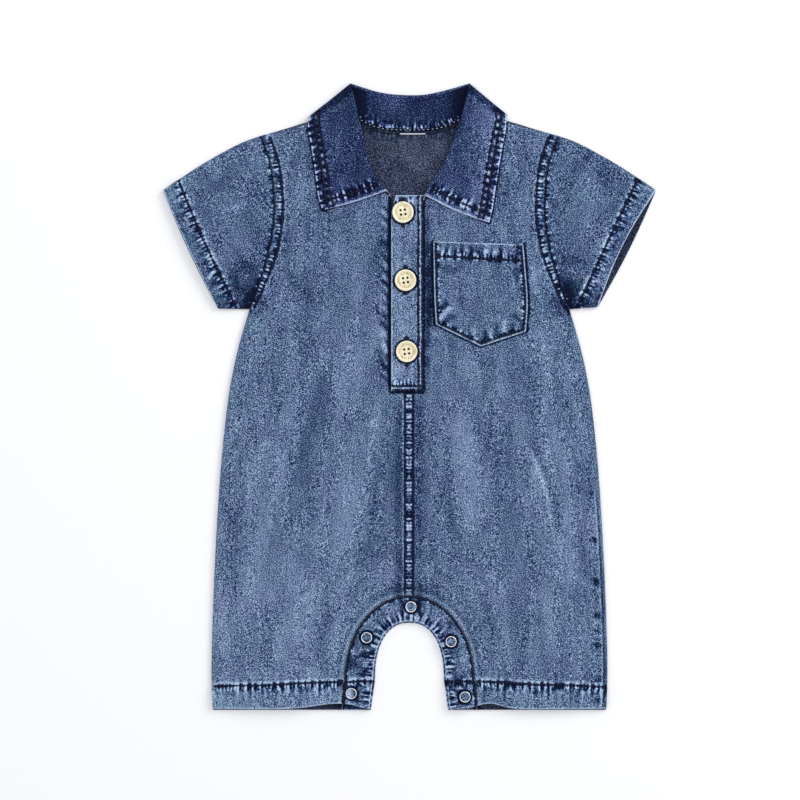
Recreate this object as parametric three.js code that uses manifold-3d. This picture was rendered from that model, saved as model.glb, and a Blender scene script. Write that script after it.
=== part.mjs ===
// A baby romper in washed denim, laid flat on its back: short sleeves, a shirt collar, a half
// placket with three four-hole buttons, a chest pocket, and a snap band round the leg arch.
// Millimetres. +X is to the right seen from above, +Y towards the collar, +Z up from the surface
// that it lies on. The origin is the middle of its outline, on that surface.
import * as THREE from 'three';
import Module from 'manifold-3d';
import { mergeVertices } from 'three/addons/utils/BufferGeometryUtils.js';

const wasm = await Module();
wasm.setup();

// Cloth and clearances
const cloth = 1.1; // one layer of denim
const doubled = 1.6; // two layers pressed together: collar, placket, snap bands
const gap = 0.3; // between pieces at a seam, and between pieces that lie on each other
const seam = gap / 2; // how far each piece stops short of the seam line

// Body
const shoulderPoint = { x: 111, y: 196 };
const neckPoint = { x: 46.9, y: 214.9 };
const armpit = { x: 120, y: 65.6 };
const backNeckDrop = 16.2; // from the neck points to the middle of the back neck seam
const backNeckPower = 3.3; // how square the back neck seam is
const backHemEdge = -235.3;
const frontHemEdge = -234.2; // the front lies a little shorter
const hemStitch = -216.4; // top of the turned hem
const hemExtra = 0.8; // what the turned hem adds to a wall
const hemStep = 1.2; // length over which the turned hem's thickness comes in

// Air between front and back, and how far in from each edge it takes to fill
const puff = { height: 2.3, fromSide: 48, fromShoulder: 46, fromArch: 46 };

// The felled seam down the middle of the front
const felledSeam = { halfWidth: 3.4, edge: 0.9, rise: 0.5 };

// Leg arch: each curve is a superellipse over its centre, then a straight leg down to the hem
const archCentreY = -212;
const archSeam = { halfWidth: 48.5, rise: 62.5, power: 2, hemHalfWidth: 50.6 };
const archEdge = { halfWidth: 27, rise: 43.2, power: 2.3, hemHalfWidth: 30.2 };
const backBandShows = 1.2; // how far the back snap band shows past the front one

// Placket
const placket = { left: -13.3, right: 9.6, top: 150.6, bottom: 4.6, cutCorner: 3.4 };
const placketOverlap = { left: 0.4, right: 0.8, top: 0.2, bottom: 0.6 }; // top strip past the lower one

// Collar: the fall at the back lies under the back panel, which it carries
const fallEdgeY = 190; // lower edge of the fall at the centre back
const fallCorner = { x: 76.3, y: 209.2 };
const fallLift = { height: doubled + 0.4, startBelow: 25, length: 18, fadeStart: 98, fadeLength: 17 };

// Sleeves: lower end of the cuff, and how far the upper and lower layer bow out past its line
const sleeveRows = [
  { name: 'sleeve_left', side: -1, cuffX: 143.8, cuffY: 66, upperBow: 1, lowerBow: 1.6 },
  { name: 'sleeve_right', side: 1, cuffX: 141.4, cuffY: 67.2, upperBow: -4, lowerBow: 1.8 },
];
const cuffHem = { start: 0.86, step: 0.015, extra: 0.7 }; // shares of the way to the cuff's edge
const sleeveAir = 1.6;

// Pocket
const pocketHem = { y: 104, extra: 0.6, step: 1.5 };
const pocketPoint = { drop: 13.8, start: 0.35 }; // how far the foot's middle hangs below its sides
const pocketRows = [
  { leftX: 17.8, leftY: 116.2, rightX: 85.4, rightY: 114 },
  { leftX: 18.2, leftY: 96, rightX: 87.2, rightY: 92 },
  { leftX: 18.6, leftY: 75, rightX: 88.6, rightY: 70 },
  { leftX: 19.8, leftY: 54, rightX: 87.2, rightY: 48.6 },
];

// Trims
const buttonRadius = 8;
const buttonHole = { radius: 0.85, offset: 2.35, turn: 0.91 };
const snapRing = { outer: 4.6, inner: 3.6, height: 0.9, shoulder: 0.35 };
const snapStud = { radius: 4, height: 1, roomRadius: 6.4, roomFade: 6, roomHeight: 1.5 };

const buttonRows = [
  { name: 'button_1', x: -4.9, y: 137.9 },
  { name: 'button_2', x: -3, y: 87 },
  { name: 'button_3', x: -2.1, y: 33.7 },
];

const snapRows = [
  { name: 'snap_1', x: -43.6, y: -222.4 },
  { name: 'snap_2', x: -32.1, y: -180.7 },
  { name: 'snap_3', x: 1.1, y: -157.6 },
  { name: 'snap_4', x: 31.2, y: -183.7 },
  { name: 'snap_5', x: 41.6, y: -225 },
];

// Half width of the body at a height: down the armhole, then down the side seam
const armholeRows = [
  { y: 196, x: 111 },
  { y: 175, x: 104.2 },
  { y: 154, x: 101.6 },
  { y: 137, x: 101.2 },
  { y: 117, x: 103.6 },
  { y: 97, x: 108.5 },
  { y: 76, x: 115.4 },
  { y: 65.6, x: 120 },
];
const sideRows = [
  { y: 65.6, x: 120 },
  { y: 42, x: 127 },
  { y: 21, x: 132 },
  { y: 0, x: 135.8 },
  { y: -42, x: 140.6 },
  { y: -94, x: 144.4 },
  { y: -157, x: 147.4 },
  { y: -205, x: 148.6 },
  { y: -236, x: 147.6 },
];

// Top line of the sleeve from the shoulder point to the cuff
const sleeveTopRows = [
  { x: 111, y: 196 },
  { x: 125.8, y: 190.6 },
  { x: 142.6, y: 181.9 },
  { x: 158, y: 172.9 },
  { x: 172, y: 163.8 },
  { x: 185.2, y: 154.9 },
];

// Collar leaves, a row for each section from the front end to the shoulder fold: the neck seam
// under the leaf, the line where the collar rolls over, and the leaf's outer edge
const leafRows = [
  {
    name: 'collar_leaf_left',
    side: -1,
    frontEdgeSag: 1.2,
    sections: [
      { neckX: -13.6, neckY: 149.4, rollX: -16.6, rollY: 154.4, edgeX: -65.2, edgeY: 139.6 },
      { neckX: -21.8, neckY: 156, rollX: -25.1, rollY: 163.3, edgeX: -68.3, edgeY: 149.3 },
      { neckX: -28.6, neckY: 164, rollX: -29.6, rollY: 174.6, edgeX: -69.6, edgeY: 159.6 },
      { neckX: -33.9, neckY: 173.1, rollX: -32.6, rollY: 186.6, edgeX: -71, edgeY: 169.9 },
      { neckX: -38.1, neckY: 182.7, rollX: -35.3, rollY: 198.6, edgeX: -72.5, edgeY: 180.2 },
      { neckX: -41.7, neckY: 192.6, rollX: -38.5, rollY: 210.4, edgeX: -74.2, edgeY: 190.4 },
      { neckX: -44.6, neckY: 202.7, rollX: -40.9, rollY: 222.5, edgeX: -76.1, edgeY: 200.6 },
      { neckX: -46.9, neckY: 211.6, rollX: -44.6, rollY: 234.2, edgeX: -75.4, edgeY: 210.3 },
    ],
  },
  {
    name: 'collar_leaf_right',
    side: 1,
    frontEdgeSag: 1.8,
    sections: [
      { neckX: 9.9, neckY: 146.4, rollX: 11.2, rollY: 150.8, edgeX: 59.8, edgeY: 130.2 },
      { neckX: 18.5, neckY: 153.5, rollX: 17.4, rollY: 162.2, edgeX: 62.5, edgeY: 141.8 },
      { neckX: 26.1, neckY: 161.7, rollX: 24.4, rollY: 173.1, edgeX: 64.2, edgeY: 153.6 },
      { neckX: 32.4, neckY: 170.9, rollX: 30, rollY: 184.8, edgeX: 66.1, edgeY: 165.4 },
      { neckX: 37.4, neckY: 180.9, rollX: 34.3, rollY: 197, edgeX: 68, edgeY: 177.2 },
      { neckX: 41.1, neckY: 191.4, rollX: 38.6, rollY: 209.3, edgeX: 70, edgeY: 188.9 },
      { neckX: 44.4, neckY: 202.1, rollX: 42.1, rollY: 221.8, edgeX: 72.3, edgeY: 200.6 },
      { neckX: 46.9, neckY: 211.6, rollX: 45, rollY: 234.4, edgeX: 72.6, edgeY: 212.2 },
    ],
  },
];

// Collar back, a row for each section from left to right: where it starts on the back neck seam,
// the line where it rolls over, and the lower edge of the fall
const backCollarRows = [
  { seamX: -46.6, rollX: -44.3, rollY: 235.1, fallX: -76.3, fallY: 209.2 },
  { seamX: -38, rollX: -36, rollY: 232.4, fallX: -61, fallY: 200.2 },
  { seamX: -24, rollX: -22.4, rollY: 228.4, fallX: -37, fallY: 193 },
  { seamX: -9, rollX: -8.6, rollY: 226.6, fallX: -13, fallY: 190.2 },
  { seamX: 9, rollX: 8.8, rollY: 226.4, fallX: 13, fallY: 190.3 },
  { seamX: 24, rollX: 23.4, rollY: 229, fallX: 37, fallY: 193.4 },
  { seamX: 38, rollX: 36, rollY: 232.4, fallX: 59.4, fallY: 200.4 },
  { seamX: 46.6, rollX: 45, rollY: 235.2, fallX: 73.4, fallY: 211.4 },
];

// Main folds of the front, as soft ridges (height above 0) and troughs (below 0)
const foldRows = [
  { fromX: -12, fromY: 0, toX: -13, toY: -140, width: 9, height: -0.6 },
  { fromX: 13, fromY: -2, toX: 15, toY: -138, width: 9, height: -0.5 },
  { fromX: -30, fromY: 6, toX: -62, toY: -150, width: 15, height: 0.8 },
  { fromX: -58, fromY: 40, toX: -92, toY: -120, width: 13, height: -0.6 },
  { fromX: -112, fromY: -10, toX: -122, toY: -190, width: 12, height: 0.7 },
  { fromX: 34, fromY: 10, toX: 48, toY: -120, width: 15, height: 0.8 },
  { fromX: 82, fromY: -28, toX: 110, toY: -118, width: 8, height: 0.6 },
  { fromX: 72, fromY: -60, toX: 84, toY: -190, width: 14, height: -0.6 },
  { fromX: 120, fromY: 0, toX: 126, toY: -180, width: 11, height: 0.6 },
  { fromX: -98, fromY: 74, toX: -62, toY: 50, width: 9, height: 0.6 },
  { fromX: 106, fromY: 62, toX: 98, toY: 24, width: 9, height: 0.6 },
];

// Places along the hem where the front stands a little open, and its edge is drawn up
const hemMouth = { start: hemStitch + 6, length: 18, drawnUp: 3.4 };
const hemMouthRows = [
  { x: -60, width: 20, rise: 1.5 },
  { x: 60, width: 10, rise: 1.6 },
];

const denim = { color: 0x5f7aa3, roughness: 0.9, metalness: 0 };
const buttonWood = { color: 0xe6d3a0, roughness: 0.5, metalness: 0 };
const snapMetal = { color: 0xc9cdd2, roughness: 0.35, metalness: 0.9 };

const lerp = THREE.MathUtils.lerp;
const clamp01 = (t) => Math.min(Math.max(t, 0), 1);
const quarterTurn = Math.PI / 2;

// 0 up to t = 0, 1 from t = 1, smooth between
function ease(t) {
  const s = clamp01(t);
  return s * s * (3 - 2 * s);
}

// Smooth x at a height, from rows listed downwards
function xAtHeight(rows, y) {
  const last = rows.length - 1;
  if (y >= rows[0].y) return rows[0].x;
  if (y <= rows[last].y) return rows[last].x;
  const i = rows.findIndex((row, k) => k < last && y <= row.y && y >= rows[k + 1].y);
  const slope = (k) => {
    const a = rows[Math.max(k - 1, 0)];
    const b = rows[Math.min(k + 1, last)];
    return (b.x - a.x) / (b.y - a.y);
  };
  const span = rows[i + 1].y - rows[i].y;
  const t = (y - rows[i].y) / span;
  const fromValues = lerp(rows[i].x, rows[i + 1].x, t * t * (3 - 2 * t));
  const fromSlopes = t * (1 - t) ** 2 * slope(i) - t * t * (1 - t) * slope(i + 1);
  return fromValues + span * fromSlopes;
}

const bodyHalfWidth = (y) => xAtHeight(y > armpit.y ? armholeRows : sideRows, y);

// Point at a share of the length of the smooth curve through two columns of rows
function curveThrough(rows, columnX, columnY) {
  const curve = new THREE.SplineCurve(rows.map((row) => new THREE.Vector2(row[columnX], row[columnY])));
  return (t) => curve.getPointAt(clamp01(t));
}

const frontNeckSeam = (side) => {
  const { sections } = leafRows.find((leaf) => leaf.side === side);
  return curveThrough(sections, 'neckX', 'neckY');
};

const backNeckSeamY = (x) => neckPoint.y - backNeckDrop * (1 - Math.abs(x / neckPoint.x) ** backNeckPower);

const shoulderSlope = (neckPoint.y - shoulderPoint.y) / (shoulderPoint.x - neckPoint.x);
const shoulderLineY = (x) => neckPoint.y - (Math.abs(x) - neckPoint.x) * shoulderSlope;

// Point on an arch curve: angle 0 at its top, a quarter turn at the start of the straight leg
function archPoint(arch, side, angle, inset) {
  const halfWidth = arch.halfWidth + inset;
  const rise = arch.rise + inset;
  const x = halfWidth * Math.sin(angle) ** (2 / arch.power);
  const y = archCentreY + rise * Math.cos(angle) ** (2 / arch.power);
  return [side * x, y];
}

// Point on the straight leg below an arch curve, at a share of the way to the hem
function archLeg(arch, side, share, bottom, inset) {
  const x = lerp(arch.halfWidth, arch.hemHalfWidth, share) + inset;
  return [side * x, lerp(archCentreY, bottom, share)];
}

// How far the back panel stands off the surface, over the collar's fall
function backUnder(x, y) {
  const edge = lerp(fallEdgeY, fallCorner.y, (x / fallCorner.x) ** 2);
  const down = ease((y - (edge - fallLift.startBelow)) / fallLift.length);
  const across = ease((fallLift.fadeStart - Math.abs(x)) / fallLift.fadeLength);
  return fallLift.height * down * across;
}

const hemThickness = (y) => hemExtra * ease((hemStitch - y) / hemStep);
const backThickness = (x, y) => cloth + hemThickness(y);

function frontThickness(x, y) {
  const insideFell = felledSeam.halfWidth + felledSeam.edge - Math.abs(x);
  return cloth + hemThickness(y) + felledSeam.rise * ease(insideFell / felledSeam.edge);
}

// Air under the front: none at side seams, shoulders and arch, most in the middle
function airUnderFront(x, y) {
  const fromSide = bodyHalfWidth(y) - Math.abs(x);
  const fromShoulder = shoulderLineY(x) - y;
  const archX = x / archSeam.halfWidth;
  const archY = Math.max(y - archCentreY, 0) / archSeam.rise;
  const fromArch = (Math.hypot(archX, archY) - 1) * archSeam.halfWidth;
  const filled = ease(fromSide / puff.fromSide) * ease(fromShoulder / puff.fromShoulder);
  return puff.height * filled * ease(fromArch / puff.fromArch);
}

// Height that one fold adds at a point, tapered at both of its ends
function foldHeight(fold, x, y) {
  const dx = fold.toX - fold.fromX;
  const dy = fold.toY - fold.fromY;
  const length = Math.hypot(dx, dy);
  const along = ((x - fold.fromX) * dx + (y - fold.fromY) * dy) / (length * length);
  const aside = ((x - fold.fromX) * dy - (y - fold.fromY) * dx) / length;
  const taper = ease(along / 0.25) * ease((1 - along) / 0.3);
  return fold.height * taper * Math.exp(-((aside / fold.width) ** 2));
}

function foldsAt(x, y) {
  const total = foldRows.reduce((sum, fold) => sum + foldHeight(fold, x, y), 0);
  return total * ease((bodyHalfWidth(y) - Math.abs(x)) / 16);
}

// Share of the hem's opening at a place, and how high the front stands there
const mouthShare = (mouth, x) => Math.exp(-(((x - mouth.x) / mouth.width) ** 2));
const mouthDepth = (y) => ease((hemMouth.start - y) / hemMouth.length);
const mouthTotal = (x, weight) => hemMouthRows.reduce((sum, m) => sum + weight(m) * mouthShare(m, x), 0);
const mouthRise = (x, y) => mouthDepth(y) * mouthTotal(x, (mouth) => mouth.rise);

// Underside of the front layer: over the back, plus air, folds and the hem's mouths
function frontUnder(x, y) {
  const onBack = backUnder(x, y) + backThickness(x, y) + gap;
  return onBack + airUnderFront(x, y) + foldsAt(x, y) + mouthRise(x, y);
}

const placketTopUnder = (x, y) => frontUnder(x, y) + doubled + gap;

// Underside of the front snap band: over the back band, raised at each stud
function bandUnder(x, y) {
  const nearest = Math.min(...snapRows.map((snap) => Math.hypot(x - snap.x, y - snap.y)));
  const room = 1 - ease((nearest - snapStud.roomRadius) / snapStud.roomFade);
  return doubled + hemThickness(y) + gap + snapStud.roomHeight * room;
}

function geometryFrom(positions, index) {
  const geometry = new THREE.BufferGeometry();
  geometry.setAttribute('position', new THREE.Float32BufferAttribute(positions, 3));
  geometry.setIndex(index);
  return geometry;
}

// Closed solid from one or more grids of [x, y] points that share points where they meet. Its
// lower face lies at under(x, y), its upper face thickness(x, y) above that.
function sheet(grids, under, thickness) {
  const places = new Map();
  const flat = [];
  const pointIndex = ([x, y]) => {
    const key = `${Math.round(x * 1000)},${Math.round(y * 1000)}`;
    if (!places.has(key)) {
      places.set(key, flat.length);
      flat.push([x, y]);
    }
    return places.get(key);
  };
  const faces = [];
  const addFace = (a, b, c) => {
    const [ax, ay] = flat[a];
    const area = (flat[b][0] - ax) * (flat[c][1] - ay) - (flat[c][0] - ax) * (flat[b][1] - ay);
    if (Math.abs(area) > 1e-4) faces.push(area > 0 ? [a, b, c] : [a, c, b]);
  };
  for (const grid of grids) {
    const ids = grid.map((row) => row.map(pointIndex));
    for (let i = 0; i + 1 < ids.length; i += 1) {
      for (let j = 0; j + 1 < ids[i].length; j += 1) {
        addFace(ids[i][j], ids[i + 1][j], ids[i + 1][j + 1]);
        addFace(ids[i][j], ids[i + 1][j + 1], ids[i][j + 1]);
      }
    }
  }
  const count = flat.length;
  const positions = [
    ...flat.flatMap(([x, y]) => [x, y, under(x, y) + thickness(x, y)]),
    ...flat.flatMap(([x, y]) => [x, y, under(x, y)]),
  ];
  const edges = new Set(faces.flatMap(([a, b, c]) => [`${a},${b}`, `${b},${c}`, `${c},${a}`]));
  const index = [];
  for (const [a, b, c] of faces) {
    index.push(a, b, c, a + count, c + count, b + count);
    for (const [i, j] of [[a, b], [b, c], [c, a]]) {
      if (!edges.has(`${j},${i}`)) index.push(j, i, i + count, j, i + count, j + count);
    }
  }
  return geometryFrom(positions, index);
}

function signedVolume(geometry) {
  const position = geometry.getAttribute('position');
  const index = geometry.getIndex().array;
  const [a, b, c] = [new THREE.Vector3(), new THREE.Vector3(), new THREE.Vector3()];
  let volume = 0;
  for (let i = 0; i < index.length; i += 3) {
    a.fromBufferAttribute(position, index[i]);
    b.fromBufferAttribute(position, index[i + 1]);
    c.fromBufferAttribute(position, index[i + 2]);
    volume += a.dot(b.cross(c)) / 6;
  }
  return volume;
}

// Closed solid between two grids of [x, y, z] points, the two faces of a wall. With wrap, each row
// is a ring, and the wall is a tube that is open at both ends.
function wall(outer, inner, wrap = false) {
  const columns = outer[0].length;
  const lastRow = outer.length - 1;
  const lastColumn = columns - 1;
  const positions = [...outer.flat(2), ...inner.flat(2)];
  const at = (face, i, j) => face * outer.length * columns + i * columns + (j % columns);
  const index = [];
  const quad = (a, b, c, d) => index.push(a, b, c, a, c, d);
  const steps = wrap ? columns : lastColumn;
  for (let i = 0; i < lastRow; i += 1) {
    for (let j = 0; j < steps; j += 1) {
      quad(at(0, i, j), at(0, i + 1, j), at(0, i + 1, j + 1), at(0, i, j + 1));
      quad(at(1, i, j), at(1, i, j + 1), at(1, i + 1, j + 1), at(1, i + 1, j));
    }
    if (!wrap) {
      quad(at(0, i, 0), at(1, i, 0), at(1, i + 1, 0), at(0, i + 1, 0));
      quad(at(0, i, lastColumn), at(0, i + 1, lastColumn), at(1, i + 1, lastColumn), at(1, i, lastColumn));
    }
  }
  for (let j = 0; j < steps; j += 1) {
    quad(at(0, 0, j), at(0, 0, j + 1), at(1, 0, j + 1), at(1, 0, j));
    quad(at(0, lastRow, j), at(1, lastRow, j), at(1, lastRow, j + 1), at(0, lastRow, j + 1));
  }
  const geometry = geometryFrom(positions, index);
  return signedVolume(geometry) < 0 ? geometryFrom(positions, index.reverse()) : geometry;
}

const group = new THREE.Group();

function addMesh(name, geometry, look) {
  geometry.computeVertexNormals();
  const mesh = new THREE.Mesh(geometry, new THREE.MeshStandardMaterial(look));
  mesh.name = name;
  group.add(mesh);
  return mesh;
}

const evenShares = (count) => Array.from({ length: count + 1 }, (_, k) => k / count);

// Row of points from a to b, with count steps
const rowBetween = (a, b, count) => evenShares(count).map((t) => [lerp(a[0], b[0], t), lerp(a[1], b[1], t)]);

// Rows of a half panel. A stretch runs down the outer edge between two heights while its inner
// edge runs from 0 to 1, in count steps, and each row is filled by across(inner, outer).
function halfPanel(side, stretches, across) {
  const rows = [];
  stretches.forEach((stretch, k) => {
    const first = k && !stretch.stepsIn ? 1 : 0;
    for (const t of evenShares(stretch.count).slice(first)) {
      const y = lerp(stretch.fromY, stretch.toY, t);
      const outer = [side * (bodyHalfWidth(y) - (y > armpit.y ? seam : 0)), y];
      rows.push(across(stretch.inner(t), outer));
    }
  });
  return rows;
}

// The stretches of a half panel from the top of the leg arch down to the hem's edge
function legStretches(side, bottom) {
  const legLength = archCentreY - bottom;
  const stitch = (archCentreY - hemStitch) / legLength;
  const turned = stitch + hemStep / legLength;
  const leg = (from, to) => (t) => archLeg(archSeam, side, lerp(from, to, t), bottom, seam);
  const arch = (t) => archPoint(archSeam, side, t * quarterTurn, seam);
  return [
    { fromY: -148, toY: archCentreY, count: 9, inner: arch },
    { fromY: archCentreY, toY: hemStitch, count: 1, inner: leg(0, stitch) },
    { fromY: hemStitch, toY: hemStitch - hemStep, count: 1, inner: leg(stitch, turned) },
    { fromY: hemStitch - hemStep, toY: bottom, count: 3, inner: leg(turned, 1) },
  ];
}

const archTopY = archCentreY + archSeam.rise + seam;

// The back: one piece, cut on the fold, as two half grids that meet down its middle
function backPanel() {
  const neckMiddle = backNeckSeamY(0) - seam;
  const neck = (side) => (t) => {
    const x = (neckPoint.x - seam) * Math.cos(t * quarterTurn);
    return [side * x, backNeckSeamY(x) - seam];
  };
  const middle = (from, to) => (t) => [0, lerp(from, to, t)];
  const grids = [-1, 1].map((side) => halfPanel(side, [
    { fromY: shoulderPoint.y, toY: 172, count: 6, inner: neck(side) },
    { fromY: 172, toY: 86, count: 6, inner: middle(neckMiddle, 92) },
    { fromY: 86, toY: armpit.y, count: 3, inner: middle(92, 72) },
    { fromY: armpit.y, toY: -148, count: 9, inner: middle(72, archTopY) },
    ...legStretches(side, backHemEdge),
  ], (inner, outer) => rowBetween(inner, outer, 6)));
  addMesh('back', sheet(grids, backUnder, backThickness), denim);
}

// A front half: neck, placket opening, centre seam with its felled ridge, arch and hem
function frontPanel(name, side) {
  const neckSeam = frontNeckSeam(side);
  const neck = (t) => {
    const { x, y } = neckSeam(1 - t);
    return [x + side * seam, y - seam];
  };
  const openingX = side < 0 ? placket.left - gap : placket.right + gap;
  const openingTop = neck(1)[1];
  const foot = placket.bottom - gap;
  // two narrow columns carry the felled seam's edge, then even ones
  const across = ([innerX, innerY], outer) => {
    const ridge = [0, felledSeam.halfWidth, felledSeam.halfWidth + felledSeam.edge];
    const [flatInner, lip, start] = ridge.map((d) => [innerX + side * d, innerY]);
    return [flatInner, lip, ...rowBetween(start, outer, 9)];
  };
  const opening = (t) => [openingX, lerp(openingTop, placket.bottom, t)];
  const centreSeam = (t) => [side * seam, lerp(foot, archTopY, t)];
  const rows = halfPanel(side, [
    { fromY: shoulderPoint.y, toY: 146, count: 7, inner: neck },
    { fromY: 146, toY: placket.bottom, count: 12, inner: opening },
    { fromY: foot - gap, toY: -148, count: 11, stepsIn: true, inner: centreSeam },
    ...legStretches(side, frontHemEdge),
  ], across);
  const drawnUp = ([x, y]) => {
    const lift = hemMouth.drawnUp * ease((hemStitch - 3 - y) / 14);
    return [x, y + lift * mouthTotal(x, () => 1)];
  };
  addMesh(name, sheet([rows.map((row) => row.map(drawnUp))], frontUnder, frontThickness), denim);
}

// The pocket lies on the wearer's left front, with a turned top hem and a pointed foot
function pocket() {
  const left = curveThrough(pocketRows, 'leftX', 'leftY');
  const right = curveThrough(pocketRows, 'rightX', 'rightY');
  const rows = evenShares(10).map((t) => {
    const drop = pocketPoint.drop * ease((t - pocketPoint.start) / (1 - pocketPoint.start)) ** 1.4;
    const fromMiddle = (k) => Math.abs(k / 4 - 1);
    return rowBetween(left(t).toArray(), right(t).toArray(), 8)
      .map(([x, y], k) => [x, y - drop * (1 - fromMiddle(k))]);
  });
  const under = (x, y) => frontUnder(x, y) + cloth + gap;
  const thickness = (x, y) => cloth + pocketHem.extra * ease((y - pocketHem.y) / pocketHem.step);
  addMesh('pocket', sheet([rows], under, thickness), denim);
}

// A placket strip, with its upper left corner cut off where the collar starts
function placketStrip(name, { left, right, top, bottom }, under) {
  const rows = evenShares(16).map((t) => {
    const y = lerp(top, bottom, t);
    const corner = placket.cutCorner * clamp01(1 - (top - y) / 12);
    return rowBetween([left + corner, y], [right, y], 3);
  });
  addMesh(name, sheet([rows], under, () => doubled), denim);
}

// The button strip fills the opening, and the buttonhole strip lies over it
function plackets() {
  placketStrip('placket_under', placket, frontUnder);
  placketStrip('placket_top', {
    left: placket.left - placketOverlap.left,
    right: placket.right + placketOverlap.right,
    top: placket.top + placketOverlap.top,
    bottom: placket.bottom - placketOverlap.bottom,
  }, placketTopUnder);
}

// A snap band runs from hem to hem round the arch
function snapBand(name, innerInset, bottom, under) {
  const legSteps = 5;
  const archSteps = 12;
  const across = (point) => rowBetween(point(archSeam, -seam), point(archEdge, innerInset), 3);
  const leg = (side, share) => across((arch, inset) => archLeg(arch, side, share, bottom, inset));
  const rows = [];
  for (let i = legSteps; i > 0; i -= 1) rows.push(leg(-1, i / legSteps));
  for (let i = -archSteps; i <= archSteps; i += 1) {
    const angle = Math.abs(i / archSteps) * quarterTurn;
    rows.push(across((arch, inset) => archPoint(arch, Math.sign(i), angle, inset)));
  }
  for (let i = 1; i <= legSteps; i += 1) rows.push(leg(1, i / legSteps));
  addMesh(name, sheet([rows], under, (x, y) => doubled + hemThickness(y)), denim);
}

// A sleeve: one piece folded along its top, a flattened tube from the armhole to the cuff
function sleeve({ name, side, cuffX, cuffY, upperBow, lowerBow }) {
  const topLine = curveThrough(sleeveTopRows, 'x', 'y');
  const stations = [0, 0.14, 0.3, 0.46, 0.62, 0.75, cuffHem.start, cuffHem.start + cuffHem.step, 1];
  const shares = [0, 0.05, 0.15, 0.28, 0.42, 0.56, 0.7, 0.8, 0.88, 0.95, 1];
  const lastShare = shares.length - 1;
  const outerRings = [];
  const innerRings = [];
  for (const s of stations) {
    const top = topLine(s);
    const foot = [lerp(armpit.x, cuffX, s), lerp(armpit.y, cuffY, s)];
    const width = Math.hypot(top.x - foot[0], top.y - foot[1]);
    const layer = cloth + cuffHem.extra * ease((s - cuffHem.start) / cuffHem.step);
    const middle = layer + gap / 2;
    // c runs down the section, from the fold along the top to the seam along the foot
    const place = (c, bow) => {
      const armY = lerp(shoulderPoint.y, armpit.y, c);
      const armCurve = bodyHalfWidth(armY) + seam - lerp(shoulderPoint.x, armpit.x, c);
      const push = bow * s ** 4 * Math.sin(Math.PI * c);
      const x = lerp(top.x, foot[0], c) + armCurve * (1 - s) ** 1.6 + push * 0.88;
      return [side * x, lerp(top.y, foot[1], c) - push * 0.47];
    };
    const within = (c) => lerp(cloth / width, 1 - cloth / width, c);
    const air = (c) => gap + sleeveAir * Math.sin(Math.PI * c) ** 0.8 * (0.6 + 0.4 * s);
    const upper = shares.map((c, k) => {
      const atFold = k === 0 || k === lastShare;
      const inside = atFold ? middle : layer + air(c);
      const outside = atFold ? middle : inside + layer;
      return { outer: [...place(c, upperBow), outside], inner: [...place(within(c), upperBow), inside] };
    });
    const lower = shares.slice(1, lastShare).reverse().map((c) => (
      { outer: [...place(c, lowerBow), 0], inner: [...place(within(c), lowerBow), layer] }
    ));
    const ring = [...upper, ...lower];
    outerRings.push(ring.map((point) => point.outer));
    innerRings.push(ring.map((point) => point.inner));
  }
  addMesh(name, wall(outerRings, innerRings, true), denim);
}

// Points along a straight line between two curve points, by distance from the first
function ruler(from, to) {
  const length = Math.hypot(to.x - from.x, to.y - from.y);
  const at = (d) => [lerp(from.x, to.x, d / length), lerp(from.y, to.y, d / length)];
  return { length, at };
}

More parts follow.
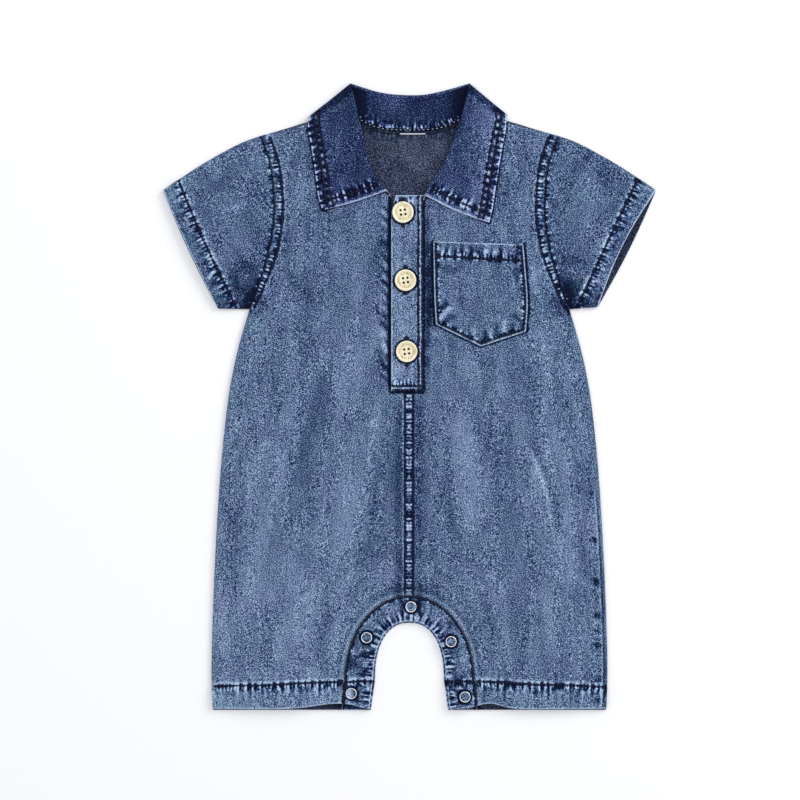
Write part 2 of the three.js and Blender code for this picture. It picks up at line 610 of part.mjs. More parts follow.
// A collar leaf, from its front end to the shoulder fold. Its section runs from the outer edge over
// the front to the roll line, round it, and back under the leaf along the stand to the neck seam.
function collarLeaf({ name, side, frontEdgeSag, sections }) {
  const rollLine = curveThrough(sections, 'rollX', 'rollY');
  const edgeLine = curveThrough(sections, 'edgeX', 'edgeY');
  const neckSeam = frontNeckSeam(side);
  const stations = [0, 0.05, 0.12, 0.21, 0.31, 0.41, 0.51, 0.61, 0.71, 0.8, 0.87, 0.92, 0.95, 0.975, 1];
  const acrossLeaf = [1, 0.88, 0.74, 0.6, 0.46, 0.33, 0.2, 0.1];
  const standThickness = doubled - 0.3;
  const rollDepth = 3; // how far the rolled edge reaches into the leaf
  const overBackStand = 2 * doubled + 3 * gap;
  const outerRows = [];
  const innerRows = [];
  for (const t of stations) {
    const roll = rollLine(t);
    const leaf = ruler(roll, edgeLine(t));
    const stand = ruler(roll, neckSeam(t));
    const low = Math.max(frontUnder(roll.x, Math.min(roll.y, neckPoint.y - 4)), overBackStand);
    const onLeaf = (d) => {
      const [x, y] = leaf.at(d);
      return [x, y - frontEdgeSag * Math.sin((Math.PI * d) / leaf.length) * (1 - ease(t / 0.2))];
    };
    // the leaf lies on the front, and past the shoulder line it drops to the fall under it
    const leafUnder = (d) => {
      const [x, y] = onLeaf(d);
      const onFront = Math.max(frontUnder(x, y) + doubled, low + standThickness) + gap;
      const pastShoulder = ease((y - shoulderLineY(x) - 1.4) / 2.4);
      return lerp(onFront, doubled + gap, pastShoulder * ease((d - rollDepth) / 9));
    };
    const section = acrossLeaf.map((share) => {
      const d = lerp(rollDepth, leaf.length, share);
      return { outer: [...onLeaf(d), leafUnder(d) + doubled], inner: [...onLeaf(d), leafUnder(d)] };
    });
    const rolled = leafUnder(rollDepth);
    section.push(
      { outer: [...onLeaf(0.5), rolled + doubled - 0.3], inner: [...onLeaf(1.7), rolled] },
      { outer: [...onLeaf(-0.1), low + doubled], inner: [...onLeaf(1.4), low + standThickness + gap / 2] },
    );
    const standEnd = Math.max(stand.length - gap, 2.2);
    const standMiddle = (1.5 + standEnd) / 2;
    section.push(
      { outer: [...stand.at(0.5), low + 0.2], inner: [...stand.at(1.5), low + standThickness] },
      { outer: [...stand.at(standMiddle), low], inner: [...stand.at(standMiddle), low + standThickness] },
      { outer: [...stand.at(standEnd), low], inner: [...stand.at(standEnd), low + standThickness] },
    );
    outerRows.push(section.map((point) => point.outer));
    innerRows.push(section.map((point) => point.inner));
  }
  addMesh(name, wall(outerRows, innerRows), denim);
}

// The collar's back: the stand behind the neck, folded over the roll line to the fall under it
function collarBack() {
  const seamLine = curveThrough(
    backCollarRows.map((row) => ({ ...row, seamY: backNeckSeamY(row.seamX) })),
    'seamX',
    'seamY',
  );
  const rollLine = curveThrough(backCollarRows, 'rollX', 'rollY');
  const fallLine = curveThrough(backCollarRows, 'fallX', 'fallY');
  const fallTop = doubled;
  const standLow = doubled + gap + 0.1;
  const standTop = standLow + doubled;
  const rollDepth = 2.2;
  const outerRows = [];
  const innerRows = [];
  for (const t of evenShares(20)) {
    const roll = rollLine(t);
    const stand = ruler(roll, seamLine(t));
    const fall = ruler(roll, fallLine(t));
    const section = [1, 0.66, 0.33, 0].map((share) => {
      const place = stand.at(lerp(rollDepth, stand.length - seam, share));
      return { outer: [...place, standTop], inner: [...place, standLow] };
    });
    section.push(
      { outer: [...stand.at(0.5), standTop - 0.7], inner: [...stand.at(1.7), (standLow + fallTop) / 2] },
      { outer: [...stand.at(0.5), 0.7], inner: [...stand.at(rollDepth), fallTop] },
    );
    for (const share of [0.08, 0.4, 0.7, 1]) {
      const place = fall.at(lerp(rollDepth, fall.length, share));
      section.push({ outer: [...place, 0], inner: [...place, fallTop] });
    }
    outerRows.push(section.map((point) => point.outer));
    innerRows.push(section.map((point) => point.inner));
  }
  addMesh('collar_back', wall(outerRows, innerRows), denim);
}

function toManifold(geometry) {
  const bare = geometry.clone();
  bare.deleteAttribute('normal');
  bare.deleteAttribute('uv');
  const merged = mergeVertices(bare, 1e-4);
  return new wasm.Manifold(new wasm.Mesh({
    numProp: 3,
    vertProperties: new Float32Array(merged.getAttribute('position').array),
    triVerts: new Uint32Array(merged.getIndex().array),
  }));
}

function fromManifold(solid) {
  const mesh = solid.getMesh();
  return geometryFrom(mesh.vertProperties, Array.from(mesh.triVerts));
}

// A turned piece about Z from a profile of rows with a radius and a height
function turned(profile, segments) {
  const points = profile.map(({ radius, height }) => new THREE.Vector2(radius, height));
  return new THREE.LatheGeometry(points, segments).rotateX(quarterTurn);
}

// A dished button with a raised rim and four thread holes
function buttonGeometry() {
  let solid = toManifold(turned([
    { radius: 0, height: 0 },
    { radius: 6.2, height: 0 },
    { radius: 7.8, height: 0.8 },
    { radius: buttonRadius, height: 1.7 },
    { radius: 7.3, height: 2.7 },
    { radius: 6.5, height: 2.7 },
    { radius: 5.4, height: 1.9 },
    { radius: 0, height: 1.8 },
  ], 18));
  for (let k = 0; k < 4; k += 1) {
    const angle = buttonHole.turn + k * quarterTurn;
    const drill = new THREE.CylinderGeometry(buttonHole.radius, buttonHole.radius, 8, 6).rotateX(quarterTurn);
    drill.translate(buttonHole.offset * Math.cos(angle), buttonHole.offset * Math.sin(angle), 1);
    solid = solid.subtract(toManifold(drill));
  }
  return fromManifold(solid);
}

function snapRingGeometry() {
  const { outer, inner, height, shoulder } = snapRing;
  return turned([
    { radius: inner, height: 0 },
    { radius: outer, height: 0 },
    { radius: outer, height: height - shoulder },
    { radius: outer - shoulder, height },
    { radius: inner + shoulder, height },
    { radius: inner, height: 0 },
  ], 16);
}

// Highest value of a surface under a round piece
function highestUnder(surface, { x, y }, radius) {
  const around = evenShares(12).map((t) => {
    const angle = 4 * t * quarterTurn;
    return surface(x + radius * Math.cos(angle), y + radius * Math.sin(angle));
  });
  return Math.max(surface(x, y), ...around);
}

function buttons() {
  const placketTop = (x, y) => placketTopUnder(x, y) + doubled;
  for (const button of buttonRows) {
    const z = highestUnder(placketTop, button, buttonRadius) + gap;
    addMesh(button.name, buttonGeometry(), buttonWood).position.set(button.x, button.y, z);
  }
}

// Each snap is a prong ring on the front band and a stud between the bands
function snaps() {
  const bandTop = (x, y) => bandUnder(x, y) + doubled + hemThickness(y);
  for (const snap of snapRows) {
    const ringZ = highestUnder(bandTop, snap, snapRing.outer) + gap;
    addMesh(`${snap.name}_ring`, snapRingGeometry(), snapMetal).position.set(snap.x, snap.y, ringZ);
    const stud = new THREE.CylinderGeometry(snapStud.radius, snapStud.radius, snapStud.height, 12);
    const studZ = doubled + hemThickness(snap.y) + gap + snapStud.height / 2;
    addMesh(`${snap.name}_stud`, stud.rotateX(quarterTurn), snapMetal).position.set(snap.x, snap.y, studZ);
  }
}

backPanel();
frontPanel('front_left', -1);
frontPanel('front_right', 1);
plackets();
pocket();
snapBand('snap_band_back', -backBandShows, backHemEdge, () => 0);
snapBand('snap_band_front', 0, frontHemEdge, bandUnder);
sleeveRows.forEach(sleeve);
collarBack();
leafRows.forEach(collarLeaf);
buttons();
snaps();

export default group;
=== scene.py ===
# A baby romper in washed denim, laid flat on its back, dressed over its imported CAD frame.
# Settings are in millimetres, seen from above: x to the right, y towards the collar, z up.
# Every mesh is made in metres, in the frame of the CAD model.
import math

import bpy
import numpy as np
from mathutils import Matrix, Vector
from mathutils.bvhtree import BVHTree


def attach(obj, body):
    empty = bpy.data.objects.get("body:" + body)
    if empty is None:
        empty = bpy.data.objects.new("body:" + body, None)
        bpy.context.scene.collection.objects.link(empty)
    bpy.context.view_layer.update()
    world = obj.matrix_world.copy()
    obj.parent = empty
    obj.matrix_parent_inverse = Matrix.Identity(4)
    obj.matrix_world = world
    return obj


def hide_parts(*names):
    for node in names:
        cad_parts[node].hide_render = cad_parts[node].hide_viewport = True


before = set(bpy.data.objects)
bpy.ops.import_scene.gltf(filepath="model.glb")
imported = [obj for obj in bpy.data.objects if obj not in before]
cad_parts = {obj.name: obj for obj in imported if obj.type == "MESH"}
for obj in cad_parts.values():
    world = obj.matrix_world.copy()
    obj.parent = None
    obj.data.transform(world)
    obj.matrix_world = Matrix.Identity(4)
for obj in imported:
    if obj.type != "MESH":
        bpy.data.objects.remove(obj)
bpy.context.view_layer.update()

mm = 0.001
farAway = 60.0  # a distance that no mark reaches
sideName = {-1: "left", 1: "right"}
print("frame loaded:", len(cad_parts), "CAD nodes")

# Cutting lines, the same as in the CAD source

cloth = {"oneLayer": 1.1, "twoLayers": 1.6, "clearance": 0.3}
oneLayer, twoLayers, clearance = cloth.values()
halfClear = clearance / 2

body = {
    "shoulder": (111, 196),
    "neck": (46.9, 214.9),
    "armpit": (120, 65.6),
    "backNeckDrop": 16.2,
    "backNeckPower": 3.3,
    "backHemEdge": -235.3,
    "frontHemEdge": -234.2,
    "hemStitch": -216.4,
    "hemBow": (2.9, 4.2, 42, 105),  # lift at the arch, fall to the side, from x, over
    "hemExtra": 0.8,
    "hemStep": 1.2,
    "armhole": [(111, 196), (104.2, 175), (101.6, 154), (101.2, 137), (103.6, 117),
                (108.5, 97), (115.4, 76), (120, 65.6)],
    "side": [(120, 65.6), (127, 42), (132, 21), (135.8, 0), (140.6, -42), (144.4, -94),
             (147.4, -157), (148.6, -205), (147.6, -236)],
}
neckX, neckY = body["neck"]
shoulderX, shoulderY = body["shoulder"]
armpitX, armpitY = body["armpit"]
hemY = body["hemStitch"]

puff = {"height": 2.3, "fromSide": 48, "fromShoulder": 46, "fromArch": 46}
felledSeam = {"halfWidth": 3.4, "edge": 0.9, "rise": 0.5}

arch = {
    "centreY": -212,
    "seam": {"halfWidth": 48.5, "rise": 62.5, "power": 2, "hemHalfWidth": 50.6},
    "edge": {"halfWidth": 27, "rise": 43.2, "power": 2.3, "hemHalfWidth": 30.2},
    "backBandShows": 1.2,
}
archY = arch["centreY"]
archStartY = -148  # where the side's rows start to follow the arch
archTopY = archY + arch["seam"]["rise"] + halfClear

placket = {"left": -13.3, "right": 9.6, "top": 150.6, "bottom": 4.6, "cutCorner": 3.4}
overlap = {"left": -0.4, "right": 0.8, "top": 0.2, "bottom": -0.6}  # of the upper strip
upperStrip = {edge: placket[edge] + more for edge, more in overlap.items()}

# The collar's fall lies under the back, which it carries
fall = {"edgeY": 190, "corner": (76.3, 209.2), "lift": 2.0, "startBelow": 25, "length": 18,
        "fadeStart": 98, "fadeLength": 17}

hemMouth = {"start": -210.4, "length": 18, "drawnUp": 4.0,
            "places": [(-54, 22, 1.5), (60, 12, 1.6)]}  # x, width, rise

# Main folds of the front: from, to, width, height above or below the cloth around it
mainFolds = [
    ((-12, 0), (-13, -140), 9, -0.6),
    ((13, -2), (15, -138), 9, -0.5),
    ((-30, 6), (-62, -150), 15, 0.8),
    ((-58, 40), (-92, -120), 13, -0.6),
    ((-112, -10), (-122, -190), 12, 0.7),
    ((34, 10), (48, -120), 15, 0.8),
    ((82, -28), (110, -118), 8, 0.6),
    ((72, -60), (84, -190), 14, -0.6),
    ((120, 0), (126, -180), 11, 0.6),
    ((-98, 74), (-62, 50), 9, 0.6),
    ((106, 62), (98, 24), 9, 0.6),
]


def lerp(a, b, t):
    return a + (b - a) * t


# 0 up to t = 0, 1 from t = 1, smooth between
def ease(t):
    s = np.clip(t, 0, 1)
    return s * s * (3 - 2 * s)


# 1 at t = 0, fading to nothing a few widths to each side
def bell(t):
    return np.exp(-(t ** 2))


# Points from their x and y, either of which may be one number
def pairs(x, y):
    return np.stack(np.broadcast_arrays(x, y), -1)


# Distance along a line of points at each of them
def runAlong(line):
    return np.insert(np.cumsum(np.hypot(*np.diff(line, axis=0).T)), 0, 0)


# Smooth x at a height, through (x, y) rows listed downwards
def smoothX(rows, y):
    xs, ys = np.array(rows, float).T
    last = len(xs) - 1
    before = np.clip(np.arange(last + 1) - 1, 0, last)
    after = np.clip(np.arange(last + 1) + 1, 0, last)
    slopes = (xs[after] - xs[before]) / (ys[after] - ys[before])
    y = np.clip(y, ys[-1], ys[0])
    i = np.clip(np.searchsorted(-ys, -y, side="right") - 1, 0, last - 1)
    span = ys[i + 1] - ys[i]
    t = (y - ys[i]) / span
    bend = t * (1 - t) ** 2 * slopes[i] - t * t * (1 - t) * slopes[i + 1]
    return lerp(xs[i], xs[i + 1], t * t * (3 - 2 * t)) + span * bend


def bodyHalfWidth(y):
    return np.where(y > armpitY, smoothX(body["armhole"], y), smoothX(body["side"], y))


def fromSide(x, y):
    return bodyHalfWidth(y) - np.abs(x)


# Folds and creases fade out towards the side seams
def clearOfSide(x, y):
    return ease(fromSide(x, y) / 16)


# Smooth curve through points, as a function of the share of its length, and that length
def curveThrough(points):
    p = np.array(points, float)
    p = np.vstack([p[:1], p, p[-1:]])
    t = np.linspace(0, 1, 41)[:, None]
    parts = []
    for a, b, c, d in zip(p, p[1:], p[2:], p[3:]):
        start = (c - a) / 2
        end = (d - b) / 2
        cubic = 2 * b - 2 * c + start + end
        square = -3 * b + 3 * c - 2 * start - end
        parts.append(cubic * t ** 3 + square * t ** 2 + start * t + b)
    line = np.vstack(parts)
    run = runAlong(line)

    def at(share):
        s = np.clip(share, 0, 1) * run[-1]
        return np.interp(s, run, line[:, 0]), np.interp(s, run, line[:, 1])

    return at, run[-1]


def backNeckSeamY(x):
    return neckY - body["backNeckDrop"] * (1 - np.abs(x / neckX) ** body["backNeckPower"])


def shoulderLineY(x):
    return neckY - (np.abs(x) - neckX) * (neckY - shoulderY) / (shoulderX - neckX)


# Point on an arch curve: angle 0 at its top, a quarter turn at the start of the straight leg
def archPoint(curve, angle, inset):
    across = np.abs(np.sin(angle)) ** (2 / curve["power"]) * np.sign(angle)
    up = np.cos(angle) ** (2 / curve["power"])
    return (curve["halfWidth"] + inset) * across, archY + (curve["rise"] + inset) * up


# Point on the straight leg below an arch curve, at a share of the way to the hem
def archLeg(curve, side, share, bottom, inset):
    x = lerp(curve["halfWidth"], curve["hemHalfWidth"], share) + inset
    return side * x, lerp(archY, bottom, share)


def backUnder(x, y):
    edge = lerp(fall["edgeY"], fall["corner"][1], (x / fall["corner"][0]) ** 2)
    down = ease((y - (edge - fall["startBelow"])) / fall["length"])
    return fall["lift"] * down * ease((fall["fadeStart"] - np.abs(x)) / fall["fadeLength"])


# Height of the hem's stitching, which rises towards the leg arch
def hemStitchY(x):
    lift, drop, start, over = body["hemBow"]
    return hemY + lift - drop * np.clip((np.abs(x) - start) / over, 0, 1)


def hemThickness(x, y):
    return body["hemExtra"] * ease((hemStitchY(x) - y) / body["hemStep"])


def backThickness(x, y):
    return oneLayer + hemThickness(x, y)


def frontThickness(x, y):
    insideFell = felledSeam["halfWidth"] + felledSeam["edge"] - np.abs(x)
    return backThickness(x, y) + felledSeam["rise"] * ease(insideFell / felledSeam["edge"])


def airUnderFront(x, y):
    seam = arch["seam"]
    up = np.maximum(y - archY, 0) / seam["rise"]
    fromArch = (np.hypot(x / seam["halfWidth"], up) - 1) * seam["halfWidth"]
    filled = ease(fromSide(x, y) / puff["fromSide"]) * ease((shoulderLineY(x) - y) / puff["fromShoulder"])
    return puff["height"] * filled * ease(fromArch / puff["fromArch"])


def foldsAt(x, y):
    total = 0
    for (fromX, fromY), (toX, toY), width, height in mainFolds:
        dx = toX - fromX
        dy = toY - fromY
        length = math.hypot(dx, dy)
        share = ((x - fromX) * dx + (y - fromY) * dy) / length ** 2
        aside = ((x - fromX) * dy - (y - fromY) * dx) / length
        total = total + height * ease(share / 0.25) * ease((1 - share) / 0.3) * bell(aside / width)
    return total * clearOfSide(x, y)


def mouthTotal(x, rising):
    return sum((rise if rising else 1) * bell((x - place) / width)
               for place, width, rise in hemMouth["places"])


# Height that the hem's edge is drawn up by at a point, in the plane of the cloth
def drawnUp(x, y):
    inside = ease((np.abs(x) - 28) / 16)
    return hemMouth["drawnUp"] * ease((hemY - 3 - y) / 14) * mouthTotal(x, False) * inside


# Bends the rows of a grid beside the hem to follow its stitching
def bendToHem(x, y):
    return y + (hemStitchY(x) - hemY) * bell((y - hemY) / 8)


# Creases and seams

# Fine creases that the cloth shows beside the main folds: the line that each follows, its width,
# height (a trough is below 0), and how far it is rubbed pale (above 0) or left dark
fineCreases = [
    ([(81, -26), (93, -46), (101, -68), (106, -92), (109, -120)], 1.3, 0.3, 0.7),
    ([(84, -24), (97, -46), (105.5, -68), (110, -92), (113, -116)], 2.6, -0.25, -0.35),
    ([(-24, 52), (-19, 40), (-16.5, 24)], 2.2, 0.35, 0.6),
    ([(-27, 72), (-21, 60), (-17, 50)], 2.6, -0.35, -0.6),
    ([(-26, 38), (-21, 26), (-18, 12)], 2.4, -0.3, -0.5),
    ([(-20, 128), (-21, 96), (-18, 70)], 4.5, -0.3, -0.45),
    ([(14, 120), (17.5, 96), (15, 66), (16, 40)], 3.2, -0.35, -0.7),
    ([(13, 72), (19, 88), (24, 82)], 1.6, 0.3, 0.6),
    ([(13.5, 54), (19, 46), (24, 52)], 1.7, 0.3, 0.5),
    ([(-34, 96), (-40, 60), (-47, 20), (-50, -30)], 7, 0.3, 0.28),
    ([(-66, 120), (-74, 70), (-84, 20)], 8, -0.3, -0.25),
    ([(-86, 10), (-98, -50), (-104, -120)], 6, 0.3, 0.22),
    ([(-128, -60), (-134, -120), (-136, -180)], 5, -0.25, -0.25),
    ([(-74, -120), (-82, -160), (-88, -205)], 7, 0.3, 0.25),
    ([(-100, -150), (-106, -190), (-108, -214)], 6, -0.25, -0.25),
    ([(-60, -150), (-63, -180), (-66, -210)], 5, -0.3, -0.3),
    ([(-24, -60), (-30, -105), (-40, -150)], 6, -0.3, -0.28),
    ([(26, -40), (30, -90), (38, -140)], 6, -0.3, -0.3),
    ([(58, 10), (62, -40), (64, -90)], 7, -0.3, -0.25),
    ([(62, -120), (70, -165), (74, -208)], 6, 0.3, 0.28),
    ([(96, -130), (104, -170), (110, -212)], 7, 0.25, 0.22),
    ([(124, -40), (130, -90), (134, -150)], 5, -0.25, -0.25),
    ([(60, 176), (72, 160), (86, 150)], 7, -0.25, -0.25),
    ([(-58, 182), (-72, 160), (-84, 132)], 7, 0.3, 0.2),
    ([(-95, 100), (-84, 84), (-70, 72)], 4, -0.3, -0.3),
    ([(98, 100), (90, 84), (80, 66)], 4, 0.3, 0.25),
    ([(46, 44), (52, 30), (62, 20)], 6, -0.25, -0.2),
]


# Distance from points to a line of points, side of it (1 left of its direction), and run along it
def along(line, x, y):
    line = np.array(line, float)
    step = np.diff(line, axis=0)
    length = np.hypot(*step.T)
    px = np.ravel(x)[:, None] - line[:-1, 0]
    py = np.ravel(y)[:, None] - line[:-1, 1]
    t = np.clip((px * step[:, 0] + py * step[:, 1]) / length ** 2, 0, 1)
    away = np.hypot(px - t * step[:, 0], py - t * step[:, 1])
    k = away.argmin(1)
    rows = np.arange(len(k))
    side = np.sign(step[k, 0] * py[rows, k] - step[k, 1] * px[rows, k])
    run = runAlong(line)[k] + t[rows, k] * length[k]
    return [np.reshape(v, np.shape(x)) for v in (away[rows, k], side, run)]


# Height and tone of a list of creases at points
def creasesAt(creases, x, y):
    height = np.zeros(np.shape(x))
    tone = np.zeros(np.shape(x))
    for k, (line, width, rise, rubbed) in enumerate(creases):
        smooth, length = curveThrough(line)
        away, _, run = along(pairs(*smooth(np.linspace(0, 1, 13))), x, y)
        share = run / length
        uneven = 1 + 0.3 * np.sin(share * 7 + k)
        shape = bell(away / (width * uneven)) * ease(share / 0.3) * ease((1 - share) / 0.35)
        height += rise * shape
        tone += rubbed * shape
    return height, tone


# Uneven wave from -1 to 1 along a seam, with about one swell in each period
def ripple(run, period, seed):
    count = 996
    swells = np.random.default_rng(seed).uniform(0.25, 1, count) * np.where(np.arange(count) % 2, 1, -1)
    step = run / period * 2 + 0.45 * np.sin(run / period * 0.83 + seed)
    i = np.floor(step).astype(int)
    return lerp(swells[i % count], swells[(i + 1) % count], ease(step - i))


# A sewn line: how far its puckers reach to its left and right, their period, height and tone, how
# deep the thread lies, and the tone of its two sides. One without thread only gathers the cloth.
def sewnLine(line, reach, period, lift, tone, seed, thread=True, bias=(0, 0)):
    return {"line": np.array(line, float), "reach": reach, "period": period, "lift": lift, "bias": bias,
            "tone": tone, "seed": seed, "pull": 0.18 if thread else 0, "offset": 0 if thread else 1.4}


puckers = {"narrowest": 0.4, "threadWidth": 0.9, "sideFrom": 1.9, "sideWidth": 1.2, "furthest": 5.6}


# Relief and tone at points, and for the nearest sewn line its distance, run and reach
def sewnAt(seams, x, y):
    relief, tone, run = np.zeros((3, *np.shape(x)))
    gap = np.full(np.shape(x), farAway)
    far = np.ones(np.shape(x))
    for seam in seams:
        away, side, distance = along(seam["line"], x, y)
        wave = ripple(distance, seam["period"], seam["seed"])
        spread = 0.85 + 0.5 * ripple(distance, seam["period"] * 1.7, seam["seed"] + 50)
        reach = np.where(side > 0, *seam["reach"])
        fade = bell(away / np.maximum(reach * spread, puckers["narrowest"]))
        relief += fade * wave * seam["lift"] - seam["pull"] * bell(away / puckers["threadWidth"])
        tone += fade * wave * seam["tone"]
        beside = bell((away - puckers["sideFrom"]) / puckers["sideWidth"])
        tone += np.where(side > 0, *seam["bias"]) * beside
        closer = away < gap
        gap = np.where(closer, away + seam["offset"], gap)
        run = np.where(closer, distance + seam["seed"] * 37, run)
        far = np.where(closer, np.minimum(reach, puckers["furthest"]), far)
    return relief, tone, gap, run, far


# Distance from points to the nearest of the lines that another piece ends on, beside which
# painted shade falls
def shadeAt(lines, x, y):
    return np.minimum.reduce([along(line, x, y)[0] for line in lines] + [np.full(np.shape(x), farAway)])


# Underside of the front, over the back: air, folds, creases and the hem's mouths
def frontUnder(x, y):
    onBack = backUnder(x, y) + backThickness(x, y) + clearance
    mouth = ease((hemMouth["start"] - y) / hemMouth["length"]) * mouthTotal(x, True)
    creases = creasesAt(fineCreases, x, y)[0] * clearOfSide(x, y)
    return onBack + airUnderFront(x, y) + foldsAt(x, y) + mouth + creases


# Sheets of cloth

edgeSteps = [0, 0.12, 0.35, 0.7]  # grid lines that round a folded edge


# Shares of a length, a step apart, with extra ones to round the ends
def shares(length, step, fineStart=True, fineEnd=True):
    places = set(np.linspace(0, length, max(2, math.ceil(length / step) + 1)))
    if fineStart:
        places |= set(edgeSteps)
    if fineEnd:
        places |= {length - s for s in edgeSteps}
    return np.array(sorted(places)) / length


# Points across each row from inner to outer, with grid lines at set distances from both ends
def acrossRows(inner, outer, innerMarks, outerMarks, step):
    length = np.hypot(*(outer - inner).T)[:, None]
    start = np.tile(np.array(innerMarks, float), (len(inner), 1))
    end = length - np.array(outerMarks, float)[::-1]
    count = max(2, math.ceil((length.max() - innerMarks[-1] - outerMarks[-1]) / step))
    middle = np.linspace(start[:, -1], end[:, 0], count + 1, axis=1)[:, 1:-1]
    share = np.concatenate([start, middle, end], axis=1) / length
    return [lerp(inner[:, k:k + 1], outer[:, k:k + 1], share) for k in (0, 1)]


# Distance from each point of a grid to its edges: first column, last column, first row, last row
def toEdges(x, y, edges=(1, 1, 1, 1)):
    each = []
    for axis in (1, 0):
        first = (slice(None), slice(1)) if axis else slice(1)
        last = (slice(None), slice(-1, None)) if axis else slice(-1, None)
        steps = [np.diff(v, axis=axis, prepend=v[first]) for v in (x, y)]
        run = np.cumsum(np.hypot(*steps), axis=axis)
        each += [run, run[last] - run]
    return np.minimum.reduce([d if use else np.full(x.shape, farAway) for d, use in zip(each, edges)])


# How far a folded edge drops from the flat, at a distance from it
def edgeRound(away, thickness):
    radius = 0.42 * thickness
    t = np.clip(away / radius, 0, 1)
    return radius * (1 - np.sqrt(np.maximum(1 - (1 - t) ** 2, 0)))


# Quads of a grid of points, whose last column may join its first
def gridQuads(rows, columns, wrap=False):
    i, j = np.meshgrid(np.arange(rows - 1), np.arange(columns if wrap else columns - 1), indexing="ij")
    a = i * columns + j
    b = i * columns + (j + 1) % columns
    return np.stack([a, a + columns, b + columns, b], axis=-1).reshape(-1, 4)


# A smooth piece that rides on the one body, from points in millimetres and faces
def makePiece(name, points, faces, materials):
    mesh = bpy.data.meshes.new(name)
    mesh.from_pydata((points * mm).tolist(), [], faces.tolist())
    mesh.polygons.foreach_set("use_smooth", np.ones(len(faces), bool))
    for material in materials:
        mesh.materials.append(material)
    piece = bpy.data.objects.new(name, mesh)
    bpy.context.scene.collection.objects.link(piece)
    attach(piece, "root")
    return piece


# Closed thin shell from an outer and an inner skin with the same quads, and a rim between them. It
# replaces the CAD node of its name. A mark has values for both skins, or a pair of them.
def clothShell(node, outer, inner, quads, skins, marks):
    count = len(outer)
    points = np.vstack([outer, inner])
    edges = np.stack([quads, np.roll(quads, -1, axis=1)], axis=2).reshape(-1, 2)
    forward = edges[:, 0] * count + edges[:, 1]
    free = edges[~np.isin(forward, edges[:, 1] * count + edges[:, 0])]
    rim = np.column_stack([free[:, 1], free[:, 0], free[:, 0] + count, free[:, 1] + count])
    faces = np.vstack([quads, quads[:, ::-1] + count, rim])
    a, b, c, d = (points[faces[:, k]] for k in range(4))
    volume = np.einsum("ij,ij->", a, np.cross(b, c)) + np.einsum("ij,ij->", a, np.cross(c, d))
    if volume < 0:
        faces = faces[:, ::-1]
    piece = makePiece("cloth_" + node, points, faces, skins)
    skin = np.repeat([0, 1, 0], [len(quads), len(quads), len(rim)])
    piece.data.polygons.foreach_set("material_index", skin.astype(np.int32))
    for mark, values in marks.items():
        eachSkin = values if isinstance(values, tuple) else (values, values)
        attribute = piece.data.attributes.new(mark, "FLOAT", "POINT")
        together = np.concatenate([np.ravel(v) for v in eachSkin])
        attribute.data.foreach_set("value", together.astype(np.float32))
    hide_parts(node)
    return piece


# Values that the denim reads: distance to a sewn line, run along it and its reach, distance to a
# folded edge, distance to a line that gets painted shade, and the tone of the outer and the inner
# skin, which holds wear and painted shade together
def sewnMarks(gap, run, reach, edge, shade, tone, innerTone=None):
    wearAndShade = tuple(np.clip(t, -3, 2) for t in (tone, tone if innerTone is None else innerTone))
    return {"seamGap": gap, "seamRun": run, "seamReach": reach, "edgeGap": edge, "shadeGap": shade,
            "wearAndShade": wearAndShade}


# A value at points, from a number or a function of them
def valueAt(value, x, y):
    return value(x, y) if callable(value) else value + 0 * x


# A sheet over a height, from one or more (x, y, distance to any edge, distance to a folded edge)
# grids that may share points
def clothSheet(node, grids, under, thickness, seams, skins, tone=0, shades=(), innerTone=None):
    flat = []
    quads = []
    total = 0
    for grid in grids:
        flat.append(np.stack([np.ravel(v) for v in grid], 1))
        faces = gridQuads(*grid[0].shape)
        p, q, r = (flat[-1][faces[:, k], :2] for k in (0, 1, 2))
        turn = np.cross(q - p, r - p).sum()
        quads.append((faces if turn > 0 else faces[:, ::-1]) + total)
        total += grid[0].size
    flat = np.vstack(flat)
    _, first, same = np.unique(np.round(flat[:, :2], 3), axis=0, return_index=True, return_inverse=True)
    quads = np.ravel(same)[np.vstack(quads)]
    x, y, edge, folded = flat[first].T
    relief, sewnTone, gap, run, reach = sewnAt(seams, x, y)
    thick = valueAt(thickness, x, y)
    drop = edgeRound(edge, thick)
    low = valueAt(under, x, y)
    outer = np.stack([x, y, low + thick + relief - drop], 1)
    inner = np.stack([x, y, low + np.clip(relief * 0.5, -0.2, 0.4) + drop], 1)
    outerTone = sewnTone + valueAt(tone, x, y)
    innerTone = outerTone if innerTone is None else sewnTone + valueAt(innerTone, x, y)
    marks = sewnMarks(gap, run, reach, folded, shadeAt(shades, x, y), outerTone, innerTone)
    return clothShell(node, outer, inner, quads, skins, marks)


# Materials


def linear(hexColour):
    parts = [int(hexColour[k:k + 2], 16) / 255 for k in (1, 3, 5)]
    return (*[c / 12.92 if c <= 0.04045 else ((c + 0.055) / 1.055) ** 2.4 for c in parts], 1)


# Gives a node's inputs their values, or links them to other nodes' sockets
def setInputs(node, inputs):
    for socket, value in inputs.items():
        if isinstance(value, bpy.types.NodeSocket):
            node.id_data.links.new(value, node.inputs[socket])
        else:
            node.inputs[socket].default_value = value


# Adds a node with its inputs and settings, and gives one of its outputs
def addNode(tree, kind, inputs, output=0, **settings):
    node = tree.nodes.new("ShaderNode" + kind)
    for setting, value in settings.items():
        setattr(node, setting, value)
    setInputs(node, inputs)
    return node.outputs[output]


def newMaterial(name):
    material = bpy.data.materials.new(name)
    material.use_nodes = True
    tree = material.node_tree
    return material, tree, tree.nodes["Principled BSDF"], addNode(tree, "TexCoord", {}, "Object")


# Gives a colour ramp its stops, and gives its socket back
def withStops(ramp, stops):
    elements = ramp.node.color_ramp.elements
    while len(elements) < len(stops):
        elements.new(0.5)
    for element, (place, colour) in zip(elements, stops):
        element.position = place
        element.color = linear(colour)
    return ramp


